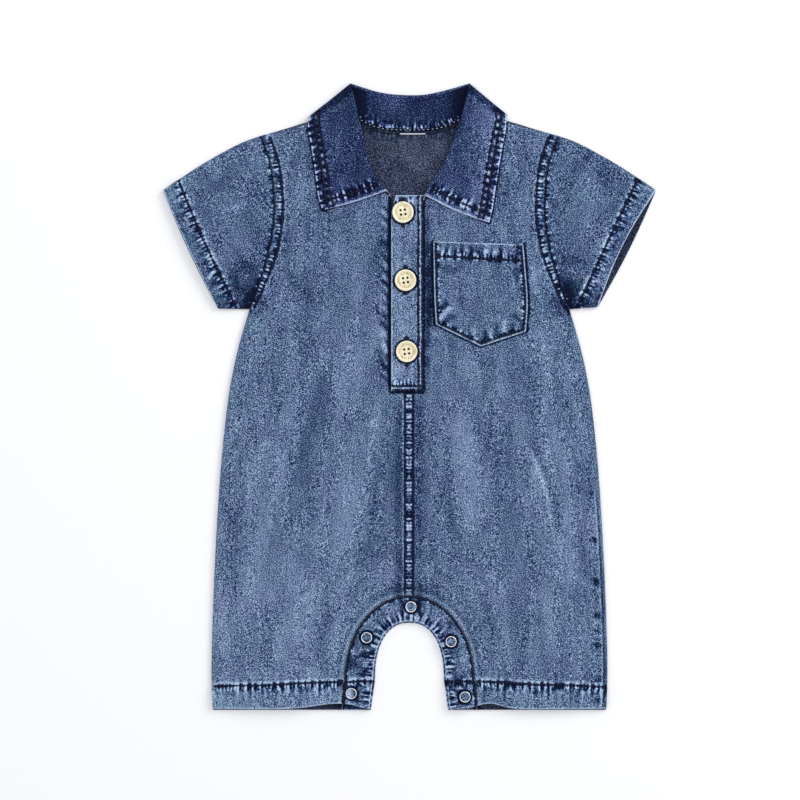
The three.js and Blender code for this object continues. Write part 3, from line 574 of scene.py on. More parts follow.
denimLook = {
    "speckSize": 0.61,  # salt-and-pepper of the twill, about twice the real thread pitch so it shows
    "twillTurn": 40,
    "slubSize": (1.3, 14),
    "cloudSize": (12, 40),
    "tintSize": 24,  # the dye takes unevenly: parts a little greener or redder
    "hue": (0.47, 0.05),  # where it starts, and how far it changes
    "wanderSize": 1.7,  # unevenness of seam lines and worn edges
    "waver": {"seamGap": 0.9, "edgeGap": 1.6, "shadeGap": 1.8},
    "barPitch": 2.7,  # one pale and one dark bar to a stitch
    "patchSize": (2.4, 4.5),  # worn patches, along a seam and across it
    "fades": {"bars": (0.35, 1.1), "patches": (0.4, 1.6), "channel": (0.9, 1.8), "edge": (1.1, 2.2),
              "foot": (1.3, 2.6)},  # where each starts and ends: shares of the reach, then millimetres
    "clothShares": {"twill": 3.7, "slub": 0.35, "cloud": 0.42},  # how far each makes the cloth paler
    # the foot share is painted shade at the foot of a piece on top
    "seamShares": {"wearAndShade": 0.34, "bars": 0.4, "patches": 4, "channel": -0.9, "edge": 0.62, "foot": -0.95},
    "finish": {"Roughness": 0.88, "Specular IOR Level": 0.12, "Sheen Weight": 0.03, "Sheen Roughness": 0.5},
}

# Stone-washed cotton denim, 3/1 twill, indigo warp and white weft: matt, heathered, and rubbed
# pale where it stands proud beside seams. Painted shade darkens it where a piece's marks place it
washedColours = [(0.0, "#050B26"), (0.2, "#172850"), (0.5, "#3E547C"), (0.8, "#7388AE"), (1.0, "#B4C6E0")]
collarColours = [(0.0, "#040A24"), (0.2, "#0E1A3C"), (0.5, "#2C3B69"), (0.8, "#6372A8"), (1.0, "#B2C1E0")]
insideColours = [(0.0, "#0A0E1C"), (0.2, "#151C30"), (0.5, "#262E48"), (0.8, "#474F6B"), (1.0, "#7B849E")]


def makeDenim(name, colours, grainTurn=0, contrast=1.0, seams=1.0):
    material, tree, shader, place = newMaterial(name)
    look = denimLook
    grain = addNode(tree, "Mapping", {"Vector": place, "Rotation": (0, 0, math.radians(grainTurn)),
                                      "Scale": (1 / mm, 1 / mm, 1 / mm)})
    parts = {mark: addNode(tree, "Attribute", {}, "Fac", attribute_name=mark)
             for mark in ("seamGap", "seamRun", "seamReach", "edgeGap", "shadeGap", "wearAndShade")}

    # the weave, its thicker yarns, the faded clouds, and the wander of seams and dye
    for pattern, turn, stretch, size, detail, roughness in [
        ("twill", look["twillTurn"], (1, 0.9), look["speckSize"], 1.0, 0.6),
        ("slub", 0, [1 / s for s in look["slubSize"]], 1, 1.0, 0.5),
        ("cloud", 0, [1 / s for s in look["cloudSize"]], 1, 1.0, 0.4),
        ("wander", 0, (1, 1), look["wanderSize"], 1.0, 0.5),
        ("tint", 0, (1, 1), look["tintSize"], 2.0, 0.5),
    ]:
        space = addNode(tree, "Mapping", {"Vector": grain, "Rotation": (0, 0, math.radians(turn)),
                                          "Scale": (*stretch, 1)})
        parts[pattern] = addNode(tree, "TexNoise", {"Vector": space, "Scale": 1 / size, "Detail": detail,
                                                    "Roughness": roughness})

    # seam lines and edges waver a little
    for mark, waver in look["waver"].items():
        parts[mark] = addNode(tree, "Math", {0: parts["wander"], 1: waver, 2: parts[mark]},
                              operation="MULTIPLY_ADD")
    gap = parts["seamGap"]
    share = addNode(tree, "Math", {0: gap, 1: parts["seamReach"]}, operation="DIVIDE")

    # the channel of the thread stays dark, the foot of a piece on top gets painted shade, and a
    # folded edge is rubbed pale
    reaches = {"bars": share, "patches": share, "channel": gap, "edge": parts["edgeGap"],
               "foot": parts["shadeGap"]}
    for part, distance in reaches.items():
        start, end = look["fades"][part]
        parts[part] = addNode(tree, "MapRange", {0: distance, 1: start, 2: end, 3: 1.0, 4: 0.0},
                              interpolation_type="SMOOTHSTEP")
    farFade = parts["patches"]

    # short bars, one to a stitch, that fade within the reach of the seam
    turns = addNode(tree, "Math", {0: parts["seamRun"], 1: 2 * math.pi / look["barPitch"], 2: parts["slub"]},
                    operation="MULTIPLY_ADD")
    uneven = addNode(tree, "Math", {0: parts["wander"], 1: 4.0, 2: turns}, operation="MULTIPLY_ADD")
    wave = addNode(tree, "Math", {0: uneven}, operation="SINE")
    parts["bars"] = addNode(tree, "Math", {0: wave, 1: parts["bars"]}, operation="MULTIPLY")

    # worn patches that lie across the seam and fade further out, where the heather shows less
    alongSeam = addNode(tree, "CombineXYZ", {0: parts["seamRun"], 1: gap})
    patchSpace = addNode(tree, "Mapping", {"Vector": alongSeam,
                                           "Scale": (*[1 / s for s in look["patchSize"]], 1)})
    patch = addNode(tree, "TexNoise", {"Vector": patchSpace, "Scale": 1.0, "Detail": 1.0})
    calm = addNode(tree, "Math", {0: farFade, 1: -0.5, 2: 1.0}, operation="MULTIPLY_ADD")
    weave = parts["twill"]
    for part, noise, fade in (("patches", patch, farFade), ("twill", weave, calm)):
        centred = addNode(tree, "Math", {0: noise, 1: 0.5}, operation="SUBTRACT")
        parts[part] = addNode(tree, "Math", {0: centred, 1: fade}, operation="MULTIPLY")

    level = 0.5 - 0.5 * (look["clothShares"]["slub"] + look["clothShares"]["cloud"]) * contrast
    for amounts, strength in ((look["clothShares"], contrast), (look["seamShares"], seams)):
        for part, amount in amounts.items():
            level = addNode(tree, "Math", {0: parts[part], 1: amount * strength, 2: level},
                            operation="MULTIPLY_ADD")
    colour = withStops(addNode(tree, "ValToRGB", {0: level}), colours)
    hue = addNode(tree, "Math", {0: parts["tint"], 1: look["hue"][1], 2: look["hue"][0]},
                  operation="MULTIPLY_ADD")
    dyed = addNode(tree, "HueSaturation", {"Hue": hue, "Saturation": 1.05, "Color": colour})
    raised = addNode(tree, "Math", {0: parts["bars"], 1: 0.5, 2: weave}, operation="MULTIPLY_ADD")
    bump = addNode(tree, "Bump", {"Height": raised, "Strength": 0.5, "Distance": 0.25 * mm})
    setInputs(shader, {"Base Color": dyed, "Normal": bump, **look["finish"]})
    return material


denimBody = makeDenim("washed denim, face side", washedColours)
denimInside = makeDenim("washed denim, reverse side", insideColours, contrast=1.15, seams=0.35)
denimSleeve = {side: makeDenim(f"washed denim, sleeve {sideName[side]}", washedColours, grainTurn=28 * side)
               for side in (-1, 1)}
denimCollar = makeDenim("washed denim, collar cloth", collarColours, contrast=0.9, seams=1.2)


# Core-spun polyester sewing thread, twisted from two plies: smooth, with a soft gloss
def makeThread(name, colour, pale):
    material, tree, shader, place = newMaterial(name)
    plies = addNode(tree, "TexWave", {"Vector": place, "Scale": 420.0, "Distortion": 2.0}, "Fac",
                    bands_direction="DIAGONAL")
    twisted = withStops(addNode(tree, "ValToRGB", {0: plies}), [(0.2, colour), (0.9, pale)])
    setInputs(shader, {"Base Color": twisted, "Roughness": 0.55, "Specular IOR Level": 0.35})
    return material


threadNavy = makeThread("sewing thread, navy core-spun", "#060A22", "#171E42")
threadPale = makeThread("sewing thread, pale core-spun", "#D5D9E2", "#FBFBFD")
print("materials made: denim, thread")

# Stitches

stitchRun = {"pitch": 2.9, "length": 2.9, "radius": 0.5}  # about twice as thick as real, so it shows


# Six-sided stitch along x, 1 long, arched in the middle and sunk at its ends
def stitchTemplate():
    rings = [(-0.5, 0.35, -1.0), (-0.34, 0.85, -0.1), (0.0, 1.0, 0.35), (0.34, 0.85, -0.1), (0.5, 0.35, -1.0)]
    angles = np.arange(6) * math.pi / 3
    points = [(s, scale * math.cos(a), lift + scale * math.sin(a))
              for s, scale, lift in rings for a in angles]
    caps = np.array([[0, 1, 2, 3], [0, 3, 4, 5]])
    lastRing = 6 * (len(rings) - 1)
    return np.array(points), np.vstack([gridQuads(len(rings), 6, wrap=True), caps, caps[:, ::-1] + lastRing])


stitchPoints, stitchFaces = stitchTemplate()


def surfaceOf(piece):
    mesh = piece.data
    return BVHTree.FromPolygons([v.co for v in mesh.vertices], [p.vertices for p in mesh.polygons])


# Height of a piece's surface at a point, in millimetres, seen from above or from below
def heightAt(surface, x, y, below=False):
    start = Vector((x * mm, y * mm, -0.1 if below else 0.1))
    hit = surface.ray_cast(start, Vector((0, 0, 1 if below else -1)))[0]
    return None if hit is None else hit.z / mm


# Points a pitch apart along a line, and its direction there
def everyPitch(line, pitch):
    line = np.array(line, float)
    run = runAlong(line)
    at = np.arange(pitch * 0.5, run[-1] - pitch * 0.3, pitch)
    ends = [np.stack([np.interp(np.clip(at + d, 0, run[-1]), run, line[:, k]) for k in (0, 1)], 1)
            for d in (-0.4 * pitch, 0.4 * pitch)]
    return (ends[0] + ends[1]) / 2, ends[1] - ends[0]


# Rows of stitches on a piece, joined into one mesh, with thread that lies on its surface
def sewRows(name, piece, rows, material=threadNavy, below=False, across=False, **changes):
    pitch, length, radius = {**stitchRun, **changes}.values()
    surface = surfaceOf(piece)
    up = -1 if below else 1
    points = []
    faces = []
    for line in rows:
        for middle, direction in zip(*everyPitch(line, pitch)):
            forward = direction / (math.hypot(*direction) or 1)
            if across:
                forward = np.array([-forward[1], forward[0]])
            ends = [heightAt(surface, *(middle + forward * k * length * 0.4), below=below) for k in (-1, 1)]
            if None in ends:
                continue
            slope = (ends[1] - ends[0]) / (0.8 * length)
            axes = np.array([np.array([*forward, slope]) * length,
                             np.array([-forward[1], forward[0], 0]) * radius,
                             [0, 0, up * radius]])
            centre = np.array([*middle, (ends[0] + ends[1]) / 2 + up * radius * (-0.9 if below else 0.25)])
            faces.append((stitchFaces[:, ::-1] if below else stitchFaces) + len(points) * len(stitchPoints))
            points.append(centre + stitchPoints @ axes)
    return makePiece(name, np.vstack(points), np.vstack(faces), [material])


# Back

backLook = {"step": 3.0, "rollHeight": 0.6, "sideBreaks": (172, 86), "middleBreaks": (92, 72)}

# Soft rolls across the back's outer side, which lie a little off the surface
backCreases = [
    ([(-70, 120), (-60, 40), (-64, -60)], 14, 0.5, 0.3),
    ([(40, 150), (52, 60), (48, -20)], 12, 0.45, 0.3),
    ([(-20, -30), (-34, -110), (-60, -180)], 13, 0.5, -0.3),
    ([(84, 30), (100, -60), (104, -150)], 12, 0.45, 0.3),
    ([(-110, 0), (-120, -90), (-116, -170)], 10, 0.4, -0.25),
    ([(16, -60), (30, -120), (66, -180)], 10, 0.45, 0.3),
    ([(-90, 150), (-60, 168), (-20, 160)], 9, 0.4, -0.25),
]


# Rows of a half panel: stretches of the outer edge between two heights, each with its inner edge and
# that edge's length. One with a mark at its end has its own first row.
def panelRows(side, stretches, step):
    inner = []
    outer = []
    for k, (fromY, toY, innerAt, length, *ownStart) in enumerate(stretches):
        t = shares(max(length, abs(toY - fromY)), step, k == 0, k == len(stretches) - 1)
        t = t[0 if k == 0 or ownStart else 1:]
        y = lerp(fromY, toY, t)
        outer.append(pairs(side * (bodyHalfWidth(y) - np.where(y > armpitY, halfClear, 0)), y))
        inner.append(pairs(*innerAt(t)))
    return np.vstack(inner), np.vstack(outer)


# Stretches from the top of the leg arch down to the hem's edge
def legStretches(side, bottom):
    legLength = archY - bottom
    stitch = (archY - hemY) / legLength
    turned = stitch + body["hemStep"] / legLength

    def leg(start, end):
        return lambda t: archLeg(arch["seam"], side, lerp(start, end, t), bottom, halfClear)

    def overArch(t):
        return archPoint(arch["seam"], side * t * math.pi / 2, halfClear)

    return [
        (archStartY, archY, overArch, 88),
        (archY, hemY, leg(0, stitch), archY - hemY),
        (hemY, hemY - body["hemStep"], leg(stitch, turned), body["hemStep"]),
        (hemY - body["hemStep"], bottom, leg(turned, 1), 18),
    ]


# Grid of a half panel, free at its inner edge where that isn't the middle of the romper
def panelGrid(rows, innerMarks, outerMarks, step, drawn=0):
    x, y = acrossRows(*rows, innerMarks, outerMarks, step)
    y = bendToHem(x, y)
    y = y + drawn * drawnUp(x, y)
    free = np.abs(rows[0][:, :1]) > 0.5
    edge = np.where(free, toEdges(x, y), toEdges(x, y, (0, 1, 1, 1)))
    return x, y, edge, toEdges(x, y, (0, 0, 0, 1))


def archSeamLine(side, bottom, inset=0.0):
    top = pairs(*archPoint(arch["seam"], side * np.linspace(0, math.pi / 2, 30), inset))
    leg = pairs(*archLeg(arch["seam"], side, np.linspace(0.1, 1, 8), bottom, inset))
    return np.vstack([top, leg])


def hemLine(side, fromX, toX=147):
    x = np.linspace(fromX, toX, 60)
    return pairs(side * x, hemStitchY(x) + 0.25 * np.sin(x / 9 + side))


# Line beside the armhole, at an inset that may change with the height
def armholeLine(side, inset, top=194, bottom=67, count=40):
    y = np.linspace(top, bottom, count)
    return pairs(side * (bodyHalfWidth(y) - valueAt(inset, 0 * y, y)), y)


def buildBack():
    grids = []
    x = np.linspace(-45, 45, 50)
    seams = [sewnLine(pairs(x, backNeckSeamY(x) - 1.6), (1, 5), 6, 0.15, 0.5, 3)]
    for side in (-1, 1):
        def neck(t, side=side):
            x = (neckX - halfClear) * np.cos(t * math.pi / 2)
            return side * x, backNeckSeamY(x) - halfClear

        def middle(start, end):
            return lambda t: (0.0, lerp(start, end, t))

        (chestY, waistY), (chestMiddleY, waistMiddleY) = backLook["sideBreaks"], backLook["middleBreaks"]
        rows = panelRows(side, [
            (shoulderY, chestY, neck, 62),
            (chestY, waistY, middle(backNeckSeamY(0.0) - halfClear, chestMiddleY), 106),
            (waistY, armpitY, middle(chestMiddleY, waistMiddleY), 20),
            (armpitY, archStartY, middle(waistMiddleY, archTopY), 222),
            *legStretches(side, body["backHemEdge"]),
        ], backLook["step"])
        grids.append(panelGrid(rows, [0], edgeSteps, backLook["step"]))
        seams += [
            sewnLine(armholeLine(side, 6), (4, 4), 5, 0.1, 0.7, 5 + side),
            sewnLine(archSeamLine(side, body["backHemEdge"], 2.2), (4, 4), 4.5, 0.1, 0.8, 8 + side),
            sewnLine(hemLine(side, 52), (4, 12)[::side], 4.5, 0.1, 0.8, 11 + side),
        ]

    def under(x, y):
        lifted = np.clip(creasesAt(backCreases, x, y)[0], 0, 0.6)
        return backUnder(x, y) + lifted * ease((fromSide(x, y) - 4) / 30) * backLook["rollHeight"]

    def rubbed(x, y):
        return creasesAt(backCreases, x, y)[1]

    # inside, the neck lies in shade, and so does the turned hem
    def tone(x, y):
        shadow = 0.7 + 0.35 * ease((x - 2) / 40) + 0.5 * ease((168 - y) / 20)
        return rubbed(x, y) - ease((y - 120) / 30) * shadow - 2.4 * ease((-225 - y) / 3)

    return clothSheet("back", grids, under, backThickness, seams, (denimInside, denimBody), tone,
                      innerTone=rubbed)


back = buildBack()
print("back laid out:", len(back.data.polygons), "faces")

pocketLook = {
    "step": 1.3,
    "left": [(17.8, 116.2), (18.2, 96), (18.6, 75), (19.8, 54)],
    "right": [(85.4, 114), (87.2, 92), (88.6, 70), (87.2, 48.6)],
    "width": 68,
    "drop": 13.8,
    "start": 0.35,
    "hem": [(18.6, 105.4), (85.6, 101.8)],
    "hemExtra": 0.6,
    "hemStep": 1.5,
    "stitch": 2.0,
}


# Point of the pocket at a share of the way down and across
def pocketPoint(t, c):
    leftX, leftY = curveThrough(pocketLook["left"])[0](t)
    rightX, rightY = curveThrough(pocketLook["right"])[0](t)
    start = pocketLook["start"]
    drop = pocketLook["drop"] * ease((t - start) / (1 - start)) ** 1.4 * (1 - np.abs(2 * c - 1))
    return lerp(leftX, rightX, c), lerp(leftY, rightY, c) - drop


# Fronts

frontLook = {
    "step": 1.45,
    "armholeInset": 6.0,  # topstitching beside the sleeve seam
    "felledStitch": {-1: 3.3, 1: 2.6},
    "archInset": 0.5,
    "neckEndY": 146,  # where the side's rows leave the neck for the opening
}

# Collar leaves, from the front end to the shoulder fold: neck seam, roll line and outer edge
leafRows = {
    -1: [
        ((-13.6, 149.4), (-16.6, 154.4), (-65.2, 139.6)),
        ((-21.8, 156), (-25.1, 163.3), (-68.3, 149.3)),
        ((-28.6, 164), (-29.6, 174.6), (-69.6, 159.6)),
        ((-33.9, 173.1), (-32.6, 186.6), (-71, 169.9)),
        ((-38.1, 182.7), (-35.3, 198.6), (-72.5, 180.2)),
        ((-41.7, 192.6), (-38.5, 210.4), (-74.2, 190.4)),
        ((-44.6, 202.7), (-40.9, 222.5), (-76.1, 200.6)),
        ((-46.9, 211.6), (-44.6, 234.2), (-75.4, 210.3)),
    ],
    1: [
        ((9.9, 146.4), (11.2, 150.8), (59.8, 130.2)),
        ((18.5, 153.5), (17.4, 162.2), (62.5, 141.8)),
        ((26.1, 161.7), (24.4, 173.1), (64.2, 153.6)),
        ((32.4, 170.9), (30, 184.8), (66.1, 165.4)),
        ((37.4, 180.9), (34.3, 197), (68, 177.2)),
        ((41.1, 191.4), (38.6, 209.3), (70, 188.9)),
        ((44.4, 202.1), (42.1, 221.8), (72.3, 200.6)),
        ((46.9, 211.6), (45, 234.4), (72.6, 212.2)),
    ],
}


def frontSeams(side):
    y = np.linspace(3, archTopY, 50)
    felled = pairs(side * frontLook["felledStitch"][side], y)
    archLine = archSeamLine(side, body["frontHemEdge"], frontLook["archInset"])
    inset = frontLook["armholeInset"]
    armhole = armholeLine(side, lambda x, y: inset * (0.5 + 0.5 * ease((y - 68) / 44)), count=44)
    # each line's left and right change places on the other half
    return {
        "armhole": sewnLine(armhole, (6.2, 1.4)[::side], 4.4, 0.25, 1.4, 21 + side, bias=(0, 0.5)[::side]),
        "felled": sewnLine(felled, (1.0, 5.5)[::side], 2.7, 0.16, 0.7, 41),
        "arch": sewnLine(archLine, (1, 1), 4.2, 0.25, 0.4, 51 + side, thread=False, bias=(0.9, 0)[::side]),
        "hem": sewnLine(hemLine(side, 51), (2.4, 9)[::side], 5.4, 0.3, 2.1, 61 + side,
                        bias=(1.0, -0.8)[::side]),
    }


# Lines on the fronts that get painted shade beside them, where another piece or a seam ends
def frontShades(side):
    left = upperStrip["left"] - 0.7
    right = upperStrip["right"] + 0.1
    bottom = upperStrip["bottom"] - 0.7
    beside = left if side < 0 else right
    _, roll, edge = zip(*leafRows[side])
    lines = [
        archSeamLine(side, body["frontHemEdge"], -1.4),
        [(beside, 152), (beside, bottom)],
        [(left, bottom), (right, bottom)],
        armholeLine(side, -0.9, 196, 66),
        edge,
        [edge[0], roll[0]],
    ]
    if side > 0:
        t = np.linspace(0, 1, 25)
        over = 0.012
        around = ((t, -over), (1 + over, t), (t[::-1], 1 + over))
        lines.append(np.vstack([pairs(*pocketPoint(*at)) for at in around]))
    return lines


def frontTone(x, y):
    onPlacket = ease((y - 6) / 12) * ease((150 - y) / 10)
    besidePlacket = ease((y - 3) / 8) * ease((152 - y) / 10)
    belowPlacket = 2 - y
    fromRight = bodyHalfWidth(y) - x
    aroundArch = np.hypot(x / 48, (y + 212) / 62) - 1.08
    level = -0.06 - 0.08 * ease((y - 60) / 60) + 0.2 * ease((-x - 10) / 30) * ease((-110 - y) / 40)
    hemBelow = 0.14 * ease((-217 - y) / 3)
    # shade and crumples along both sides of the placket
    right = -1.1 * bell((x - 13.2) / 2.2) * onPlacket * (0.6 + 0.6 * ripple(y, 15, 9))
    crumple = -1.3 * bell((x - 15) / 3) * bell((y - 72) / 24) * (0.8 + 0.5 * ripple(y + x, 8, 3))
    left = -2.4 * bell((x + 14.6) / 1.9) * besidePlacket
    blotches = 1.5 * ripple(y + x * 0.8, 9, 7) * bell((x + 18.6) / 2.6) * onPlacket
    # the felled seam: dark sides, a rubbed ridge on its left and a dark line on its right
    felledSides = -0.7 * bell((np.abs(x) - 7.5) / 3.4) * ease(belowPlacket / 12)
    ridge = 1.1 * bell((x + 4.6) / 0.7) + 0.4 * bell(((x + 0.4) / 1.9) ** 2) - 1.2 * bell((x - 3.0) / 0.8)
    felledRidge = ridge * ease(belowPlacket / 8)
    # painted shadow where the sleeve meets the body at the armpit
    armpit = -1.6 * bell((np.abs(x) - 116) / 8) * bell((y - 72) / 9)
    nearArch = -0.5 * ease((y + 236) / 20) * bell(aroundArch / 0.07)
    # the side seam shows along the right leg: a rubbed line, and dark squares inside it
    seamLines = 1.3 * bell((fromRight - 4.0) / 0.6) - 1.5 * bell((fromRight - 2.6) / 0.7)
    squares = -1.7 * np.clip(1.8 * ripple(y, 13, 5) - 0.5, 0, 1) * bell(((fromRight - 6.8) / 2.4) ** 2)
    sideSeam = (seamLines + squares) * ease((-58 - y) / 30)
    # painted shading that follows the main folds, paler on their ridges and darker in their troughs, on top
    # of the rubbed creases
    creases = 1.35 * creasesAt(fineCreases, x, y)[1] * clearOfSide(x, y) + 0.42 * foldsAt(x, y)
    return (creases + right + crumple + left + blotches + felledSides + felledRidge + armpit + nearArch
            + sideSeam + level + hemBelow)


def buildFront(side):
    node = f"front_{sideName[side]}"
    neckSeam = curveThrough([neck for neck, _, _ in leafRows[side]])[0]

    def neck(t):
        x, y = neckSeam(1 - t)
        return x + side * halfClear, y - halfClear

    openingX = placket["left"] - clearance if side < 0 else placket["right"] + clearance
    openingTop = neck(1.0)[1]
    foot = placket["bottom"] - clearance
    step = frontLook["step"]

    def opening(t):
        return openingX, lerp(openingTop, placket["bottom"], t)

    def felled(t):
        return side * 0.02, lerp(foot, archTopY, t)

    rows = panelRows(side, [
        (shoulderY, frontLook["neckEndY"], neck, 84),
        (frontLook["neckEndY"], placket["bottom"], opening, 142),
        (foot - clearance, archStartY, felled, 152, "own first row"),
        *legStretches(side, body["frontHemEdge"]),
    ], step)
    stitch = frontLook["felledStitch"][side]
    innerMarks = [0, 0.4, 0.9, 1.6, stitch - 0.5, stitch, stitch + 0.4, 4.0, 4.3, 4.8, 5.4, 6.4]
    outerMarks = [*edgeSteps, 1.2, 2.1, 3.0, 3.4, 3.8, 4.7, 5.4, 6.0, 6.6, 7.8]
    seams = frontSeams(side)
    grid = panelGrid(rows, innerMarks, outerMarks, step, drawn=1)
    piece = clothSheet(node, [grid], frontUnder, frontThickness, list(seams.values()),
                       (denimBody, denimInside), frontTone, frontShades(side))
    sewRows(f"stitching_{node}", piece, [seams[k]["line"] for k in ("armhole", "felled", "hem")])
    return piece


fronts = {side: buildFront(side) for side in (-1, 1)}
print("fronts laid out:", [len(p.data.polygons) for p in fronts.values()], "faces")

# Placket

buttonLook = {
    "places": [(-4.9, 137.9), (-3, 87), (-2.1, 33.7)],
    "radius": 8,
    "height": 1.9,
    "holeRadius": 0.85,
    "holeOffset": 2.35,
    "holeTurn": 0.91,
    # inset and rise of each step: up over the rim, then down into the dish, and the rounded foot
    "rimSteps": [(0.0, 0.45), (0.35, 0.3), (0.5, 0.05), (0.45, -0.25), (0.45, -0.4), (0.7, -0.18),
                 (1.6, -0.05)],
    "footSteps": [(0.6, -0.35), (0.9, -0.15)],
}

placketLook = {"step": 1.1, "rightStitches": (0.7, 3.7), "footStitches": (0.9, 3.9), "threadRadius": 0.36}


def placketGrid(left, right, top, bottom):
    t = shares(top - bottom, placketLook["step"])
    y = lerp(top, bottom, t)
    corner = placket["cutCorner"] * np.clip(1 - (top - y) / 12, 0, 1)
    x, y = acrossRows(pairs(left + corner, y), pairs(right, y), [*edgeSteps, 1.1, 1.6, 2.2, 3.0],
                      [*edgeSteps, 1.1, 1.6, 2.4, 3.2, 3.7, 4.3], 1.0)
    return x, y, toEdges(x, y), toEdges(x, y, (1, 0, 1, 0))


def circle(x, y, radius):
    turn = np.linspace(0, 2 * math.pi, 49)
    return pairs(x + radius * np.cos(turn), y + radius * np.sin(turn))


def placketTone(x, y):
    ridgeX = upperStrip["right"] - 2.3
    ridgeY = upperStrip["bottom"] + 2.4
    dots = 0.45 * np.sin(y * 2 * math.pi / 1.45)
    footDots = 0.45 * np.sin(x * 2 * math.pi / 1.6)
    ridge = (1.5 + dots) * bell((x - ridgeX) / 0.75) * ease((y - upperStrip["bottom"]) / 2)
    foot = (1.4 + footDots) * bell((y - ridgeY) / 0.75) * ease((ridgeX + 1 - x) / 2)
    broad = 0.26 + 0.25 * bell((x + 9) / 3) - 0.35 * bell((y - 112) / 14)
    # painted shade on the placket under each button, which shows dark through its holes
    shadeUnderButtons = sum(bell((np.hypot(x - bx, y - by) / 5.5) ** 2) for bx, by in buttonLook["places"])
    return np.maximum(ridge, foot) + broad - 3.5 * shadeUnderButtons


def buildPlacket():
    skins = (denimBody, denimBody)
    lowerStrip = list(placket.values())[:4]
    lower = clothSheet("placket_under", [placketGrid(*lowerStrip)], frontUnder, twoLayers, [], skins)
    left, right, top, bottom = upperStrip.values()
    y = np.linspace(top - 1, bottom + 0.9, 50)
    rows = [pairs(right - d + 0.15 * np.sin(y / 6), y) for d in placketLook["rightStitches"]]
    x = np.linspace(left + 1.2, right - 0.8, 12)
    rows += [pairs(x, bottom + d) for d in placketLook["footStitches"]]
    neckRow = pairs(np.linspace(left + 3, right - 1, 12), top - 5.5)
    seams = [
        sewnLine(rows[0], (1.2, 1.2), 3.4, 0.08, 0.2, 80),
        sewnLine(rows[1], (2.4, 0.8), 3.4, 0.1, 0.3, 81),
        sewnLine(rows[2], (1.2, 1.2), 3.6, 0.08, 0.3, 82),
        sewnLine(rows[3], (5.5, 1.2), 4.0, 0.15, 0.9, 83),
        sewnLine(neckRow, (6, 3), 3.8, 0.2, 1.3, 84, thread=False),
    ]
    # painted shade round each button and at both ends of its buttonhole
    shades = [circle(bx, by, 8.4) for bx, by in buttonLook["places"]]
    shades += [[(bx, by + k * 10.6), (bx, by + k * 9)] for bx, by in buttonLook["places"] for k in (-1, 1)]
    upper = clothSheet("placket_top", [placketGrid(left, right, top, bottom)],
                       lambda x, y: frontUnder(x, y) + twoLayers + clearance, twoLayers, seams, skins,
                       placketTone, shades)
    sewRows("stitching_placket", upper, rows, radius=placketLook["threadRadius"])
    return lower, upper


placketUnder, placketTop = buildPlacket()
print("placket laid on")

# Pocket

pocketCreases = [
    ([(20, 55), (26, 63), (35, 69)], 1.7, 0, 1.9),
    ([(21, 60), (25, 67), (31, 72)], 2.2, 0, -2.3),
    ([(22, 50), (29, 58), (37, 60)], 1.8, 0, -1.7),
    ([(50, 37), (48, 45), (49, 54)], 1.2, 0, 1.6),
    ([(46, 37), (45, 44), (46, 50)], 1.5, 0, -1.4),
    ([(55, 37), (57, 46), (55, 53)], 1.5, 0, -1.7),
    ([(66, 41), (65, 49), (67, 57)], 1.7, 0, -1.5),
    ([(72, 43), (71, 52), (73, 60)], 1.4, 0, 1.4),
    ([(77, 45), (77, 52), (79, 57)], 1.6, 0, -1.5),
    ([(85, 55), (79, 60), (75, 63)], 1.8, 0, -1.5),
    ([(63, 40), (61, 46), (62, 51)], 1.0, 0, 1.2),
    ([(22, 98), (32, 94), (40, 96)], 2.2, 0, -0.8),
    ([(78, 98), (80, 92), (81, 84)], 2.4, 0, -0.9),
]


def buildPocket():
    width = pocketLook["width"]
    x, y = pocketPoint(shares(62, pocketLook["step"])[:, None], shares(width, pocketLook["step"])[None, :])
    inset = pocketLook["stitch"] / width
    t = np.linspace(0.02, 1 - inset * 1.2, 30)
    foot = np.linspace(inset, 1 - inset, 41)
    outline = np.vstack([pairs(*pocketPoint(*at)) for at in (
        (t, inset), (1 - inset * 1.3, foot), (t[::-1], 1 - inset))])
    (startX, startY), (endX, endY) = pocketLook["hem"]
    c = np.linspace(inset, 1 - inset, 24)
    hem = pairs(lerp(startX, endX, c), lerp(startY, endY, c))
    seams = [sewnLine(outline, (2.8, 0.7), 8, 0.25, 1.1, 91), sewnLine(hem, (11, 2.6), 6.6, 0.3, 1.7, 93)]

    def thickness(x, y):
        aboveHem = y - lerp(startY, endY, (x - startX) / (endX - startX)) + 0.5
        return oneLayer + pocketLook["hemExtra"] * ease(aboveHem / pocketLook["hemStep"])

    edge = toEdges(x, y)
    piece = clothSheet("pocket", [(x, y, edge, edge)], lambda x, y: frontUnder(x, y) + oneLayer + clearance,
                       thickness, seams, (denimBody, denimInside),
                       lambda x, y: creasesAt(pocketCreases, x, y)[1] - 0.15)
    sewRows("stitching_pocket", piece, [outline, hem])
    return piece


pocket = buildPocket()
print("pocket laid on")

# Snap bands

bandLook = {
    "step": 0.95,
    "studs": [(-43.6, -222.4), (-32.1, -180.7), (1.1, -157.6), (31.2, -183.7), (41.6, -225)],
    "roomRadius": 6.4,
    "roomFade": 6,
    "roomHeight": 1.5,
    "seamStitch": 0.6,
    "gathers": 3.0,
    "ringShade": 4.8,
}

